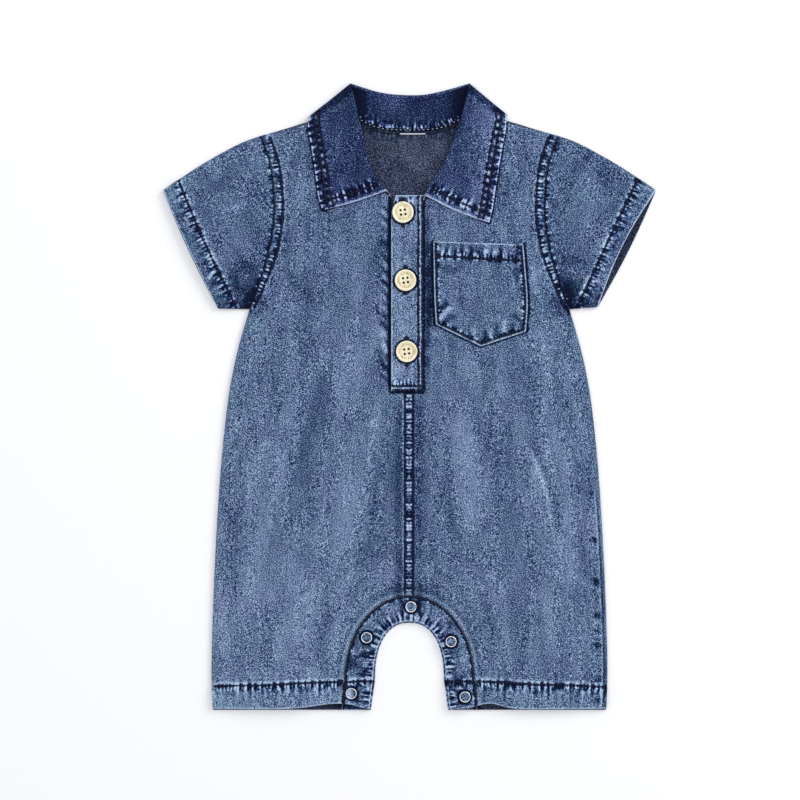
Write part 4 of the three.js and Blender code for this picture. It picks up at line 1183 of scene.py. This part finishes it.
# Creases and rubbed lines of the front band: where the turned hem and the centre seam lie beneath
bandCreases = [
    ([(7.0, -149), (7.2, -158), (7.6, -168)], 1.5, -0.2, -2.6),
    ([(-5.2, -149), (-5.4, -158), (-5.0, -168)], 1.6, -0.2, -1.6),
    ([(-1.8, -150), (-1.8, -158), (-1.6, -167)], 2.0, 0.2, 1.3),
    ([(4.0, -150), (4.0, -158), (4.0, -167)], 1.4, 0.2, 1.0),
    ([(-40.2, -212), (-40.0, -222), (-39.0, -233)], 1.3, -0.3, -2.8),
    ([(-45.6, -214), (-45.8, -218), (-45.6, -232)], 3.0, 0.2, 1.5),
    ([(-48, -206), (-44, -200), (-36, -204)], 3.4, -0.2, -1.0),
    ([(-36, -212), (-33, -206), (-30, -209)], 2.0, -0.2, -2.0),
    ([(-46, -190), (-40, -194), (-34, -192)], 3.4, 0.2, 0.7),
    ([(-44, -197), (-36, -194), (-28, -193)], 1.8, -0.2, -1.6),
    ([(-38, -172), (-32, -169), (-26, -166)], 3.0, 0.2, 0.5),
    ([(44, -186), (42, -196), (43, -205)], 3.0, 0.2, 0.6),
    ([(30, -213.5), (36, -212), (44, -209)], 2.6, -0.2, -2.0),
    ([(31, -217), (34, -224), (36, -230)], 2.4, 0.2, 1.2),
    ([(36, -219), (38, -228), (37, -233)], 2.0, -0.2, -2.0),
    ([(46, -216), (47, -224), (48, -232)], 1.2, 0.2, 1.2),
    ([(28, -176), (30, -172), (29, -166)], 1.4, -0.2, -1.4),
]


def bandThickness(x, y):
    return twoLayers + hemThickness(x, y)


def bandUnder(x, y):
    nearest = np.minimum.reduce([np.hypot(x - sx, y - sy) for sx, sy in bandLook["studs"]])
    room = 1 - ease((nearest - bandLook["roomRadius"]) / bandLook["roomFade"])
    return bandThickness(x, y) + clearance + bandLook["roomHeight"] * room


# The lowest snap on each leg shows paler cloth inside its ring
def bandTone(x, y):
    total = creasesAt(bandCreases, x, y)[1] - 0.15
    for k in (0, 4):
        sx, sy = bandLook["studs"][k]
        total = total + 0.25 * (1 - ease((np.hypot(x - sx, y - sy) - 2.4) / 1.2))
    return total


# The band's outer and inner edge, from the left hem round the arch to the right
def bandEdges(bottom, innerInset):
    leg = shares(22, bandLook["step"], fineStart=False)
    turn = np.linspace(-math.pi / 2, math.pi / 2, 132)[1:-1]
    return [np.vstack([pairs(*archLeg(curve, -1, leg[::-1], bottom, inset)),
                       pairs(*archPoint(curve, turn, inset)), pairs(*archLeg(curve, 1, leg, bottom, inset))])
            for curve, inset in ((arch["seam"], -halfClear), (arch["edge"], innerInset))]


def buildBand(layer, innerInset, bottom, under, tone, seed, innerTone=None):
    outer, inner = bandEdges(bottom, innerInset)
    marks = [*edgeSteps, 1.1, 1.7, 2.4]
    x, y = acrossRows(outer, inner, marks, marks, bandLook["step"])
    isFront = layer == "front"
    if isFront:
        y = bendToHem(x, y)
        y = y + drawnUp(x, y)
    width = np.hypot(*(inner - outer).T)[:, None]
    gathers = lerp(inner, outer, bandLook["gathers"] / width)[::2]
    seamRow = lerp(outer, inner, bandLook["seamStitch"] / width)[::2]
    hemRows = [hemLine(side, 29, 49) for side in (-1, 1)]
    seams = [
        sewnLine(gathers, (5.4, 4.5), 4.2, 0.25, 2.5, seed, thread=False),
        sewnLine(seamRow, (1, 2), 6, 0.2, 0.6, seed + 3),
        sewnLine(hemRows[0], (6, 2.4), 4.4, 0.2, 1.5, seed + 5, bias=(-0.7, 1.6)),
        sewnLine(hemRows[1], (2.4, 6), 4.4, 0.2, 1.5, seed + 6, bias=(1.6, -0.7)),
    ]
    shades = [lerp(outer, inner, -0.9 / width)[::2]]
    if isFront:
        shades += [circle(sx, sy, bandLook["ringShade"]) for sx, sy in bandLook["studs"]]
    grid = (x, y, toEdges(x, y), toEdges(x, y, (0, 1, 1, 1)))
    piece = clothSheet(f"snap_band_{layer}", [grid], under, bandThickness, seams, (denimBody, denimBody),
                       tone, shades, innerTone)
    sewRows(f"stitching_snap_band_{layer}", piece, [seamRow, *hemRows] if isFront else [seamRow],
            below=not isFront)
    return piece


# the back band shows only as a sliver past the front band, and its upper skin gets painted shade
bandBack = buildBand("back", -arch["backBandShows"], body["backHemEdge"], 0, -1.6, 101, innerTone=-0.2)
bandFront = buildBand("front", 0, body["frontHemEdge"], bandUnder, bandTone, 111)
print("snap bands laid on")

# Sleeves

sleeveLook = {
    "step": 1.6,
    "width": 130,
    "top": [(111, 196), (125.8, 190.6), (142.6, 181.9), (158, 172.9), (172, 163.8), (185.2, 154.9)],
    "air": 1.6,
    "hemExtra": 0.7,
    "bowWay": (0.88, 0.47),  # how far the cuff's bow goes outwards and down
    # the armpit tone is a painted shadow, and the last tone is painted shade inside the sleeve near the cuff
    "tones": {"cuff": 0.1, "armpit": -2.2, "underarm": -0.9, "insideShade": -3},
    -1: {"cuff": (143.8, 66), "bows": (1, 1.6), "cuffDepth": 14.2, "rubbedEdge": 0.3, "level": -0.18},
    1: {"cuff": (141.4, 67.2), "bows": (-4, 1.8), "cuffDepth": 16, "rubbedEdge": 2, "level": -0.3},
}

sleeveCreases = {
    -1: [
        ([(-153.5, 87.4), (-150, 89), (-148, 93), (-144, 95)], 0.8, 0.25, 2.4),
        ([(-150, 83), (-146, 86), (-141, 90)], 1.8, -0.2, -1.4),
        ([(-134, 96), (-130, 84), (-128, 74)], 5, -0.2, -0.9),
        ([(-118, 150), (-132, 140), (-148, 134)], 5, 0.4, 0.3),
        ([(-112, 92), (-122, 98), (-136, 98)], 4, -0.3, -0.7),
        ([(-130, 170), (-146, 156), (-162, 148)], 5, -0.3, -0.3),
    ],
    1: [
        ([(120, 160), (138, 150), (156, 146)], 6, 0.4, 0.3),
        ([(112, 100), (124, 104), (136, 100)], 4, -0.3, -0.6),
        ([(128, 128), (140, 118), (146, 104)], 5, 0.35, 0.3),
        ([(132, 176), (148, 164), (164, 152)], 5, -0.3, -0.3),
        ([(126, 76), (130, 80), (133, 87)], 0.9, 0.2, 1.9),
        ([(118, 90), (120, 80), (121, 70)], 5, -0.2, -1.1),
        ([(150, 108), (146, 112), (140, 113)], 1.0, 0.2, 1.2),
    ],
}


# A flat tube: s runs from the arm to the cuff, c from the fold on top to the one below
def buildSleeve(side):
    row = sleeveLook[side]
    cuffX, cuffY = row["cuff"]
    topLine, topLength = curveThrough(sleeveLook["top"])
    s = shares(topLength, sleeveLook["step"])[:, None]
    c = shares(sleeveLook["width"], sleeveLook["step"])[None, :]

    def place(s, c, bow):
        topX, topY = topLine(s)
        armY = lerp(shoulderY, armpitY, c)
        armCurve = bodyHalfWidth(armY) + halfClear - lerp(shoulderX, armpitX, c)
        push = bow * s ** 4 * np.sin(math.pi * c)
        outwards, down = sleeveLook["bowWay"]
        x = lerp(topX, lerp(armpitX, cuffX, s), c) + armCurve * (1 - s) ** 1.6 + push * outwards
        return side * x, lerp(topY, lerp(armpitY, cuffY, s), c) - push * down

    def lengthAt(c):
        armX, armY = place(0, c, 0)
        endX, endY = place(1, c, 0)
        return np.hypot(endX - armX, endY - armY)

    topX, topY = topLine(s)
    width = np.hypot(topX - lerp(armpitX, cuffX, s), topY - lerp(armpitY, cuffY, s))
    fromCuff = (1 - s) * lengthAt(c)
    fromArm = s * lengthAt(c)
    onCuff = ease((row["cuffDepth"] - fromCuff) / 1.6)
    layer = oneLayer + sleeveLook["hemExtra"] * onCuff
    middle = layer + halfClear
    air = clearance + sleeveLook["air"] * np.sin(math.pi * c) ** 0.8 * (0.6 + 0.4 * s)
    fromFold = np.minimum(c, 1 - c) * width
    outerTurn, innerTurn = (np.sqrt(1 - (1 - np.clip(fromFold / radius, 0, 1)) ** 2) for radius in (1.5, 3))
    within = lerp(oneLayer / width, 1 - oneLayer / width, c)

    # the upper layer first, then the lower one
    share = np.linspace(0.01, 0.99, 50)
    lines, shown, inside, sewn = [], [], [], []
    for bow in row["bows"]:
        cuffLine = pairs(*place(1 - row["cuffDepth"] / lengthAt(share), share, bow))
        armLine = pairs(*place(1.5 / lengthAt(share), share, bow))
        seams = [sewnLine(cuffLine, (2.6, 10)[::-side], 5.8, 0.28, 1.2, 121 + side,
                          bias=(0.8, -0.5)[::-side]),
                 sewnLine(armLine, (3, 3), 5, 0.12, 1.0, 131 + side, thread=False)]
        lines.append(cuffLine)
        shown.append(place(s, c, bow))
        inside.append(place(s, within, bow))
        sewn.append(sewnAt(seams, *shown[-1]))
    relief, tone, *read = sewn[0]
    _, lowerTone, *lowerRead = sewn[1]
    crease, creaseTone = creasesAt(sleeveCreases[side], *shown[0])
    calm = np.clip(fromFold / 5, 0, 1)
    # the cuff's folded edge is rounded
    cuffDrop = edgeRound(fromCuff, layer)
    topZ = middle + (2 * layer + air - middle) * outerTurn + (relief + crease) * calm - cuffDrop * outerTurn
    insideTop = middle + (layer + air - middle) * innerTurn + np.maximum(crease, 0) * calm
    upper = [np.stack([*shown[0], topZ], -1),
             np.stack([*inside[0], insideTop + cuffDrop * innerTurn * 0.8], -1)]
    lower = [np.stack([*shown[1], middle * (1 - outerTurn)], -1),
             np.stack([*inside[1], middle + (layer - middle) * innerTurn], -1)]

    def joined(upper, lower):
        return np.concatenate([upper, lower[:, -2:0:-1]], axis=1)

    tones = sleeveLook["tones"]
    # painted shadow at the armpit, and darker cloth along the underarm fold
    armpit = tones["armpit"] * bell(s / 0.2) * bell((1 - c) / 0.16)
    tone = tone + creaseTone + armpit + tones["underarm"] * ease((c - 0.78) / 0.2)
    tone = tone + tones["cuff"] * onCuff + row["level"] + row["rubbedEdge"] * bell(fromCuff / 1.1)
    # painted shade inside the sleeve near the cuff, where its inner skin shows
    insideShade = tones["insideShade"] * ease((10 - fromCuff) / 4)
    marks = sewnMarks(*[joined(a, b) for a, b in zip(read, lowerRead)], joined(fromCuff, fromCuff),
                      joined(fromArm + 0.2, fromArm + 0.2), joined(tone, lowerTone),
                      joined(tone, lowerTone + insideShade))
    outer, inner = (joined(a, b) for a, b in zip(upper, lower))
    node = f"sleeve_{sideName[side]}"
    quads = gridQuads(*outer.shape[:2], wrap=True)
    piece = clothShell(node, outer.reshape(-1, 3), inner.reshape(-1, 3), quads,
                       (denimSleeve[side], denimInside), marks)
    sewRows(f"stitching_{node}", piece, lines[:1])
    sewRows(f"stitching_under_{node}", piece, lines[1:], below=True)
    return piece


sleeves = {side: buildSleeve(side) for side in (-1, 1)}
print("sleeves set in")

# Collar

collarLook = {"step": 1.15, "rollDepth": 1.8, "insideDepth": 0.35, "stitchRows": (5.4, 9.2), "gathers": 7.5,
              "footStitch": 6.4, "standThin": 0.3, "sag": {-1: 1.2, 1: 1.8}}
collarBackLook = {"step": 1.5, "rollDepth": 2.2, "insideDepth": 0.5, "stitch": 1.4}


def distance(start, end):
    return np.hypot(end[0] - start[0], end[1] - start[1])


# Points from one curve towards another, by distance
def between(start, end, d):
    share = d / distance(start, end)
    return lerp(start[0], end[0], share), lerp(start[1], end[1], share)


# A strip folded over its roll line: an upper layer, half a turn, and a lower layer. Each layer gives
# its points at distances from the roll line, and the height of its outer and inner skin.
def foldedSkins(upper, upperD, lower, lowerD, depth, insideDepth, turns=9):
    angle = np.linspace(0, math.pi, turns)[None, 1:-1]
    first = angle < math.pi / 2
    skins = []
    for skin, reach in ((0, depth), (1, insideDepth)):
        d = depth - reach * np.sin(angle)
        highZ = upper(0 * d + depth, skin)[2]
        lowZ = lower(0 * d + depth, skin)[2]
        roll = [np.where(first, top, foot) for top, foot in zip(upper(d, skin), lower(d, skin))]
        roll[2] = (highZ + lowZ) / 2 + (highZ - lowZ) / 2 * np.cos(angle)
        skins.append(np.stack([np.concatenate(parts, axis=1) for parts in zip(
            upper(upperD, skin), roll, lower(lowerD, skin))], -1))
    return skins


# Distances from the roll line: close ones beside the outer edge, and even ones down to the roll
def upperDistances(length, marks, depth, step):
    count = math.ceil((length.max() - marks[-1] - depth) / step)
    middle = np.linspace(length[:, 0] - marks[-1], 0 * length[:, 0] + depth, count + 1, axis=1)[:, 1:]
    return np.concatenate([length - np.array(marks), middle], axis=1)


def collarShell(node, skins, seamGap, run, reach, edge, tone):
    marks = sewnMarks(seamGap, run, reach, edge, np.full(tone.shape, farAway), tone)
    return clothShell(node, *[skin.reshape(-1, 3) for skin in skins], gridQuads(*tone.shape),
                      (denimCollar, denimCollar), marks)


def buildLeaf(side):
    (neckAt, _), (rollAt, _), (edgeAt, edgeLength) = (curveThrough(line) for line in zip(*leafRows[side]))
    depth = collarLook["rollDepth"]
    standThick = twoLayers - collarLook["standThin"]
    t = shares(edgeLength, collarLook["step"])[:, None]
    roll, edge, neck = rollAt(t), edgeAt(t), neckAt(t)
    leafLength = distance(roll, edge)
    low = np.maximum(frontUnder(roll[0], np.minimum(roll[1], neckY - 4)), 2 * twoLayers + 3 * clearance)
    foot = t * edgeLength  # distance from the leaf's front end

    def onLeaf(t, d):
        start, end = rollAt(t), edgeAt(t)
        x, y = between(start, end, d)
        sag = collarLook["sag"][side] * np.sin(math.pi * d / distance(start, end))
        return x, y - sag * (1 - ease(t / 0.2))

    inner, outer = collarLook["stitchRows"]
    marks = [*edgeSteps, 1.2, 1.9, 2.7, 3.6, 4.5, inner, 6.2, 7.0, 7.8, 8.6, outer, 10.2]
    upperD = upperDistances(leafLength, marks, depth, 1.2)
    standEnd = np.maximum(distance(roll, neck) - clearance, depth + 0.4)
    lowerD = lerp(depth, standEnd, np.linspace(0, 1, 12)[None, :])

    share = np.linspace(0.012, 0.97, 50)
    length = distance(rollAt(share), edgeAt(share))
    sideRows = [pairs(*onLeaf(share, length - inset)) for inset in (inner, outer, collarLook["gathers"])]
    footT = collarLook["footStitch"] / edgeLength
    footD = np.linspace(3, float(distance(rollAt(footT), edgeAt(footT))) - 6.5, 30)
    footRow = pairs(*onLeaf(0 * footD + footT, footD))
    seams = [
        sewnLine(sideRows[0], (1.6, 4.5)[::-side], 5.4, 0.25, 2.0, 141 + side),
        sewnLine(sideRows[1], (2.2, 1.6)[::-side], 5.2, 0.2, 1.0, 151 + side),
        sewnLine(sideRows[2], (1.5, 1.5), 5.2, 0.2, 2.8, 155 + side, thread=False),
        sewnLine(pairs(*edgeAt(share)), (4.8, 4.8), 5.0, 0.2, 2.9, 171 + side, thread=False),
        sewnLine(footRow, (3.6, 5)[::-side], 5.6, 0.25, 2.8, 161 + side),
    ]

    def upper(d, skin):
        x, y = onLeaf(t + 0 * d, d)
        onFront = np.maximum(frontUnder(x, y) + twoLayers, low + standThick) + clearance
        past = ease((y - shoulderLineY(x) - 1.4) / 2.4)
        z = lerp(onFront, twoLayers + clearance, past * ease((d - 3) / 9))
        fromEdge = np.minimum(leafLength - d, np.minimum(foot, edgeLength - foot))
        drop = edgeRound(fromEdge, twoLayers)
        return x, y, z + drop if skin else z + twoLayers + sewnAt(seams, x, y)[0] - drop

    def lower(d, skin):
        x, y = between(roll, neck, d)
        return x, y, low + (standThick if skin else 0) + 0 * x

    skins = foldedSkins(upper, upperD, lower, lowerD, depth, collarLook["insideDepth"])
    x, y = skins[0][..., 0], skins[0][..., 1]
    _, tone, seamGap, run, reach = sewnAt(seams, x, y)
    columns = upperD.shape[1]
    onTop = np.arange(x.shape[1]) < columns
    fromOuter = np.full(x.shape, farAway)
    fromOuter[:, :columns] = leafLength - upperD
    fromEdge = np.minimum(fromOuter, np.minimum(foot, edgeLength - foot + 3))
    # a dark border beside the rubbed edge, a darker leaf towards its roll, and painted shade over the
    # whole left leaf
    tone = np.where(onTop, tone, 0) - 0.7 * ease((fromEdge - 1.2) / 0.8) * ease((10 - fromEdge) / 3)
    tone = tone + 0.7 * ease((9 - foot) / 3) * ease((fromOuter - 9) / 3)
    nearRoll = ease((62 - np.abs(x)) / 30)
    # the left leaf gets painted shade all over
    if side < 0:
        tone = tone - 0.45 - 0.25 * nearRoll
    else:
        tone = tone + 0.1 - 0.8 * nearRoll * (1 - 0.6 * ease((190 - y) / 50))
    node = f"collar_leaf_{sideName[side]}"
    piece = collarShell(node, skins, np.where(onTop, seamGap, farAway), run, reach, fromEdge, tone)
    sewRows(f"stitching_{node}", piece, [*sideRows[:2], footRow])
    return piece


# The collar behind the neck: x of the neck seam, roll line, and edge of the fall under the back
backCollarRows = [
    (-46.6, (-44.3, 235.1), (-76.3, 209.2)),
    (-38, (-36, 232.4), (-61, 200.2)),
    (-24, (-22.4, 228.4), (-37, 193)),
    (-9, (-8.6, 226.6), (-13, 190.2)),
    (9, (8.8, 226.4), (13, 190.3)),
    (24, (23.4, 229), (37, 193.4)),
    (38, (36, 232.4), (59.4, 200.4)),
    (46.6, (45, 235.2), (73.4, 211.4)),
]


def buildCollarBack():
    seamAt = curveThrough([(x, backNeckSeamY(x)) for x, _, _ in backCollarRows])[0]
    rollAt, rollLength = curveThrough([r for _, r, _ in backCollarRows])
    fallAt = curveThrough([f for _, _, f in backCollarRows])[0]
    t = shares(rollLength, collarBackLook["step"], False, False)[:, None]
    roll, stand, foot = rollAt(t), seamAt(t), fallAt(t)
    depth = collarBackLook["rollDepth"]
    standLow = twoLayers + clearance + 0.1
    upperD = upperDistances(distance(roll, stand), [0.15, 0.7, 1.4, 2.2, 3.2], depth, 1.5)
    lowerD = lerp(depth, distance(roll, foot), np.linspace(0, 1, 14)[None, :])
    share = np.linspace(0.02, 0.98, 50)
    seamLine = pairs(*between(seamAt(share), rollAt(share), collarBackLook["stitch"]))
    seams = [sewnLine(seamLine, (7, 1.5), 5.0, 0.3, 1.2, 171)]

    def upper(d, skin):
        x, y = between(roll, stand, d)
        return x, y, (standLow if skin else standLow + twoLayers + sewnAt(seams, x, y)[0]) + 0 * x

    def lower(d, skin):
        x, y = between(roll, foot, d)
        return x, y, (twoLayers if skin else 0) + 0 * x

    skins = foldedSkins(upper, upperD, lower, lowerD, depth, collarBackLook["insideDepth"])
    x, y = skins[0][..., 0], skins[0][..., 1]
    _, tone, seamGap, run, reach = sewnAt(seams, x, y)
    onStand = np.arange(x.shape[1]) < upperD.shape[1]
    shade = -0.85 - 1.6 * ease((np.abs(x) - 28) / 12) + 0.7 * bell((x + 12) / 9) * ease((y - 205) / 20)
    piece = collarShell("collar_back", skins, np.where(onStand, seamGap, farAway), run, reach,
                        np.full(x.shape, farAway), np.where(onStand, tone + shade, -0.4))
    sewRows("stitching_back_neck", piece, [seamLine], threadPale, pitch=3.4, length=1.4, radius=0.2)
    return piece


collarBack = buildCollarBack()
leaves = {side: buildLeaf(side) for side in (-1, 1)}
print("collar folded over")

# Buttons, buttonholes and snaps


# Turned maple wood, sanded and waxed: fine end grain, a soft gloss, and painted shade in the dish,
# its groove and its holes
def makeButtonWood():
    material, tree, shader, place = newMaterial("maple, turned and waxed")
    stretched = addNode(tree, "Mapping", {"Vector": place, "Scale": (1400, 160, 500)})
    fibre = addNode(tree, "TexNoise", {"Vector": stretched, "Scale": 1.0, "Detail": 4.0})
    dishShade = addNode(tree, "Attribute", {}, "Fac", attribute_name="dishShade")
    level = addNode(tree, "Math", {0: dishShade, 1: -0.5, 2: fibre}, operation="MULTIPLY_ADD")
    colour = withStops(addNode(tree, "ValToRGB", {0: level}),
                       [(0.0, "#4A3420"), (0.3, "#DCCDA6"), (0.5, "#F1EACC"), (0.8, "#FBF8E2")])
    bump = addNode(tree, "Bump", {"Height": fibre, "Strength": 0.2, "Distance": 0.1 * mm})
    setInputs(shader, {"Base Color": colour, "Normal": bump, "Roughness": 0.42, "Coat Weight": 0.15})
    return material


# Nickel-plated brass, stamped and tumbled: bright, with a slightly soft reflection
def makeNickel():
    material, tree, shader, place = newMaterial("brass, nickel-plated")
    scratch = addNode(tree, "TexNoise", {"Vector": place, "Scale": 900.0, "Detail": 2.0})
    rough = addNode(tree, "MapRange", {0: scratch, 3: 0.2, 4: 0.42})
    setInputs(shader, {"Base Color": linear("#DCDEE2"), "Metallic": 1.0, "Roughness": rough})
    return material


buttonWood = makeButtonWood()
nickel = makeNickel()


def deselectAll():
    if bpy.context.object and bpy.context.object.mode != "OBJECT":
        bpy.ops.object.mode_set(mode="OBJECT")
    bpy.ops.object.select_all(action="DESELECT")


def settle(piece):
    deselectAll()
    piece.select_set(True)
    bpy.context.view_layer.objects.active = piece
    bpy.ops.object.transform_apply(location=True, rotation=True, scale=True)


# Selects the cap of a piece that faces up (1) or down (-1), then insets and lifts it in steps
def stepCap(piece, way, steps):
    bpy.ops.object.mode_set(mode="EDIT")
    bpy.ops.mesh.select_mode(type="FACE")
    bpy.ops.mesh.select_all(action="DESELECT")
    bpy.ops.object.mode_set(mode="OBJECT")
    for face in piece.data.polygons:
        face.select = face.normal.z * way > 0.9
    bpy.ops.object.mode_set(mode="EDIT")
    for inset, rise in steps:
        bpy.ops.mesh.inset(thickness=max(inset, 0.001) * mm, depth=0)
        bpy.ops.transform.translate(value=(0, 0, rise * mm))
    bpy.ops.object.mode_set(mode="OBJECT")


# A turned button: insets of the top cap make the rim, the groove and the dish, and four holes are drilled
def buildButton():
    look = buttonLook
    turns = [look["holeTurn"] + k * math.pi / 2 for k in range(4)]
    holes = [(look["holeOffset"] * math.cos(turn), look["holeOffset"] * math.sin(turn)) for turn in turns]
    deselectAll()
    bpy.ops.mesh.primitive_cylinder_add(vertices=64, radius=look["radius"] * mm, depth=look["height"] * mm,
                                        location=(0, 0, look["height"] / 2 * mm))
    piece = bpy.context.object
    piece.name = "button"
    stepCap(piece, 1, look["rimSteps"])
    stepCap(piece, -1, look["footSteps"])
    for holeX, holeY in holes:
        bpy.ops.mesh.primitive_cylinder_add(vertices=20, radius=look["holeRadius"] * mm, depth=9 * mm,
                                            location=(holeX * mm, holeY * mm, 0))
        drill = bpy.context.object
        bpy.context.view_layer.objects.active = piece
        cut = piece.modifiers.new("hole", "BOOLEAN")
        cut.operation = "DIFFERENCE"
        cut.solver = "EXACT"
        cut.object = drill
        bpy.ops.object.modifier_apply(modifier="hole")
        bpy.data.objects.remove(drill)
    soft = piece.modifiers.new("edge", "BEVEL")
    soft.width = 0.12 * mm
    soft.segments = 2
    soft.angle_limit = math.radians(35)
    bpy.ops.object.modifier_apply(modifier="edge")
    low = min(v.co.z for v in piece.data.vertices)
    for v in piece.data.vertices:
        v.co.z -= low
    deselectAll()
    piece.select_set(True)
    bpy.ops.object.shade_smooth_by_angle(angle=math.radians(40))
    # painted shade in the dish, more in its groove, and darkest inside the holes
    dishShade = piece.data.attributes.new("dishShade", "FLOAT", "POINT")
    for v in piece.data.vertices:
        x, y = v.co.x / mm, v.co.y / mm
        r = math.hypot(x, y)
        inDish = 1 - float(ease(r - 5.0))
        inHole = any(math.hypot(x - holeX, y - holeY) < look["holeRadius"] + 0.05 for holeX, holeY in holes)
        groove = 0.5 * float(bell((r - 5.6) / 0.45))
        dishShade.data[v.index].value = 0.22 * inDish + groove + (1.2 if inHole else 0)
    piece.data.materials.append(buttonWood)
    return piece


def highest(surface, x, y, radius):
    heights = [heightAt(surface, *point) for point in circle(x, y, radius)[::4]]
    return max(h for h in heights if h is not None)


# A copy of a master at each place on a piece, just clear of it, in place of a CAD node
def placeCopies(master, places, carrier, radius, clear, name, node):
    surface = surfaceOf(carrier)
    for k, (x, y) in enumerate(places, 1):
        piece = master.copy()
        piece.data = master.data.copy()
        piece.name = name.format(k)
        bpy.context.scene.collection.objects.link(piece)
        piece.location = (x * mm, y * mm, (highest(surface, x, y, radius) + clear) * mm)
        settle(piece)
        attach(piece, "root")
        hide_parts(node.format(k))
    bpy.data.objects.remove(master)


placeCopies(buildButton(), buttonLook["places"], placketTop, 6.5, 0.25,
            "wood_button_{}", "button_{}")

# Buttonholes run down the placket: bars of thread across, a close row on each side of the slit
holeLook = {"halfLength": 9.4, "halfWidth": 0.8, "barHalf": 1.9, "barPast": 0.7, "pitch": 0.62, "radius": 0.3}
slitRows = []
endRows = []
for x, y in buttonLook["places"]:
    for edge in (-1, 1):
        rowX = x + edge * holeLook["halfWidth"]
        barY = y + edge * (holeLook["halfLength"] + holeLook["barPast"])
        slitRows.append([(rowX, y - holeLook["halfLength"]), (rowX, y + holeLook["halfLength"])])
        endRows.append([(x - holeLook["barHalf"], barY), (x + holeLook["barHalf"], barY)])
for name, rows, length in (("buttonholes", slitRows, 1.7), ("buttonhole_bars", endRows, 2.0)):
    sewRows(name, placketTop, rows, across=True, pitch=holeLook["pitch"], length=length,
            radius=holeLook["radius"])

# White bar tack at the middle of the back neck
tackX = np.linspace(-7, 12, 8)
tackLine = pairs(tackX, backNeckSeamY(tackX) - 1.7)
sewRows("neck_tack", back, [tackLine], threadPale, pitch=0.75, length=1.5, radius=0.42)
print("buttons on, buttonholes worked")

snapLook = {"radius": 3.75, "wire": 0.43, "height": 0.9}


def buildSnapRing():
    deselectAll()
    bpy.ops.mesh.primitive_torus_add(major_radius=snapLook["radius"] * mm, minor_radius=snapLook["wire"] * mm,
                                     major_segments=48, minor_segments=12, location=(0, 0, 0))
    piece = bpy.context.object
    bpy.ops.object.mode_set(mode="EDIT")
    bpy.ops.mesh.select_all(action="SELECT")
    bpy.ops.transform.resize(value=(1, 1, snapLook["height"] / 2 / snapLook["wire"]))
    bpy.ops.transform.translate(value=(0, 0, snapLook["height"] / 2 * mm))
    bpy.ops.object.mode_set(mode="OBJECT")
    bpy.ops.object.shade_smooth()
    piece.data.materials.append(nickel)
    return piece


placeCopies(buildSnapRing(), bandLook["studs"], bandFront, snapLook["radius"], 0.02,
            "snap_ring_{}", "snap_{}_ring")
for name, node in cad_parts.items():
    if name.endswith("_stud"):
        node.data.materials.clear()
        node.data.materials.append(nickel)
print("snaps set")

# Floor, light and camera

studio = {"floor": 3.0, "cameraHeight": 2.004, "lens": 120, "lookAt": (-7.1, -2.6)}


# Matt white paper with a faint tooth: no gloss, soft shadows
def makeBackdrop():
    material, tree, shader, place = newMaterial("paper backdrop, matt white")
    fibre = addNode(tree, "TexNoise", {"Vector": place, "Scale": 300.0, "Detail": 2.0})
    bump = addNode(tree, "Bump", {"Height": fibre, "Strength": 0.03, "Distance": 0.1 * mm})
    setInputs(shader, {"Base Color": linear("#FBFBFC"), "Normal": bump, "Roughness": 0.95})
    return material


deselectAll()
bpy.ops.mesh.primitive_plane_add(size=studio["floor"], location=(0, 0, -0.5 * mm))
floor = bpy.context.object
floor.name = "floor"
floor.data.materials.append(makeBackdrop())
settle(floor)


# A square softbox that looks at the romper
def addLight(name, place, size, power):
    data = bpy.data.lights.new(name, "AREA")
    data.size = size
    data.energy = power
    light = bpy.data.objects.new(name, data)
    light.location = place
    light.rotation_euler = (-Vector(place)).to_track_quat("-Z", "Y").to_euler()
    bpy.context.scene.collection.objects.link(light)


addLight("softbox right", (1.3, 0.9, 1.1), 1.0, 15)
addLight("softbox overhead", (-0.3, 0.2, 2.6), 2.0, 25)

scene = bpy.context.scene
world = bpy.data.worlds.new("white room")
world.use_nodes = True
setInputs(world.node_tree.nodes["Background"], {"Color": linear("#F4F6FA"), "Strength": 0.6})
scene.world = world
scene.view_settings.view_transform = "Standard"
scene.view_settings.look = "None"

lens = bpy.data.cameras.new("camera")
lens.lens = studio["lens"]
lens.sensor_width = 36
camera = bpy.data.objects.new("camera", lens)
camera.location = (*[v * mm for v in studio["lookAt"]], studio["cameraHeight"])
scene.collection.objects.link(camera)
scene.camera = camera
print("studio set up")
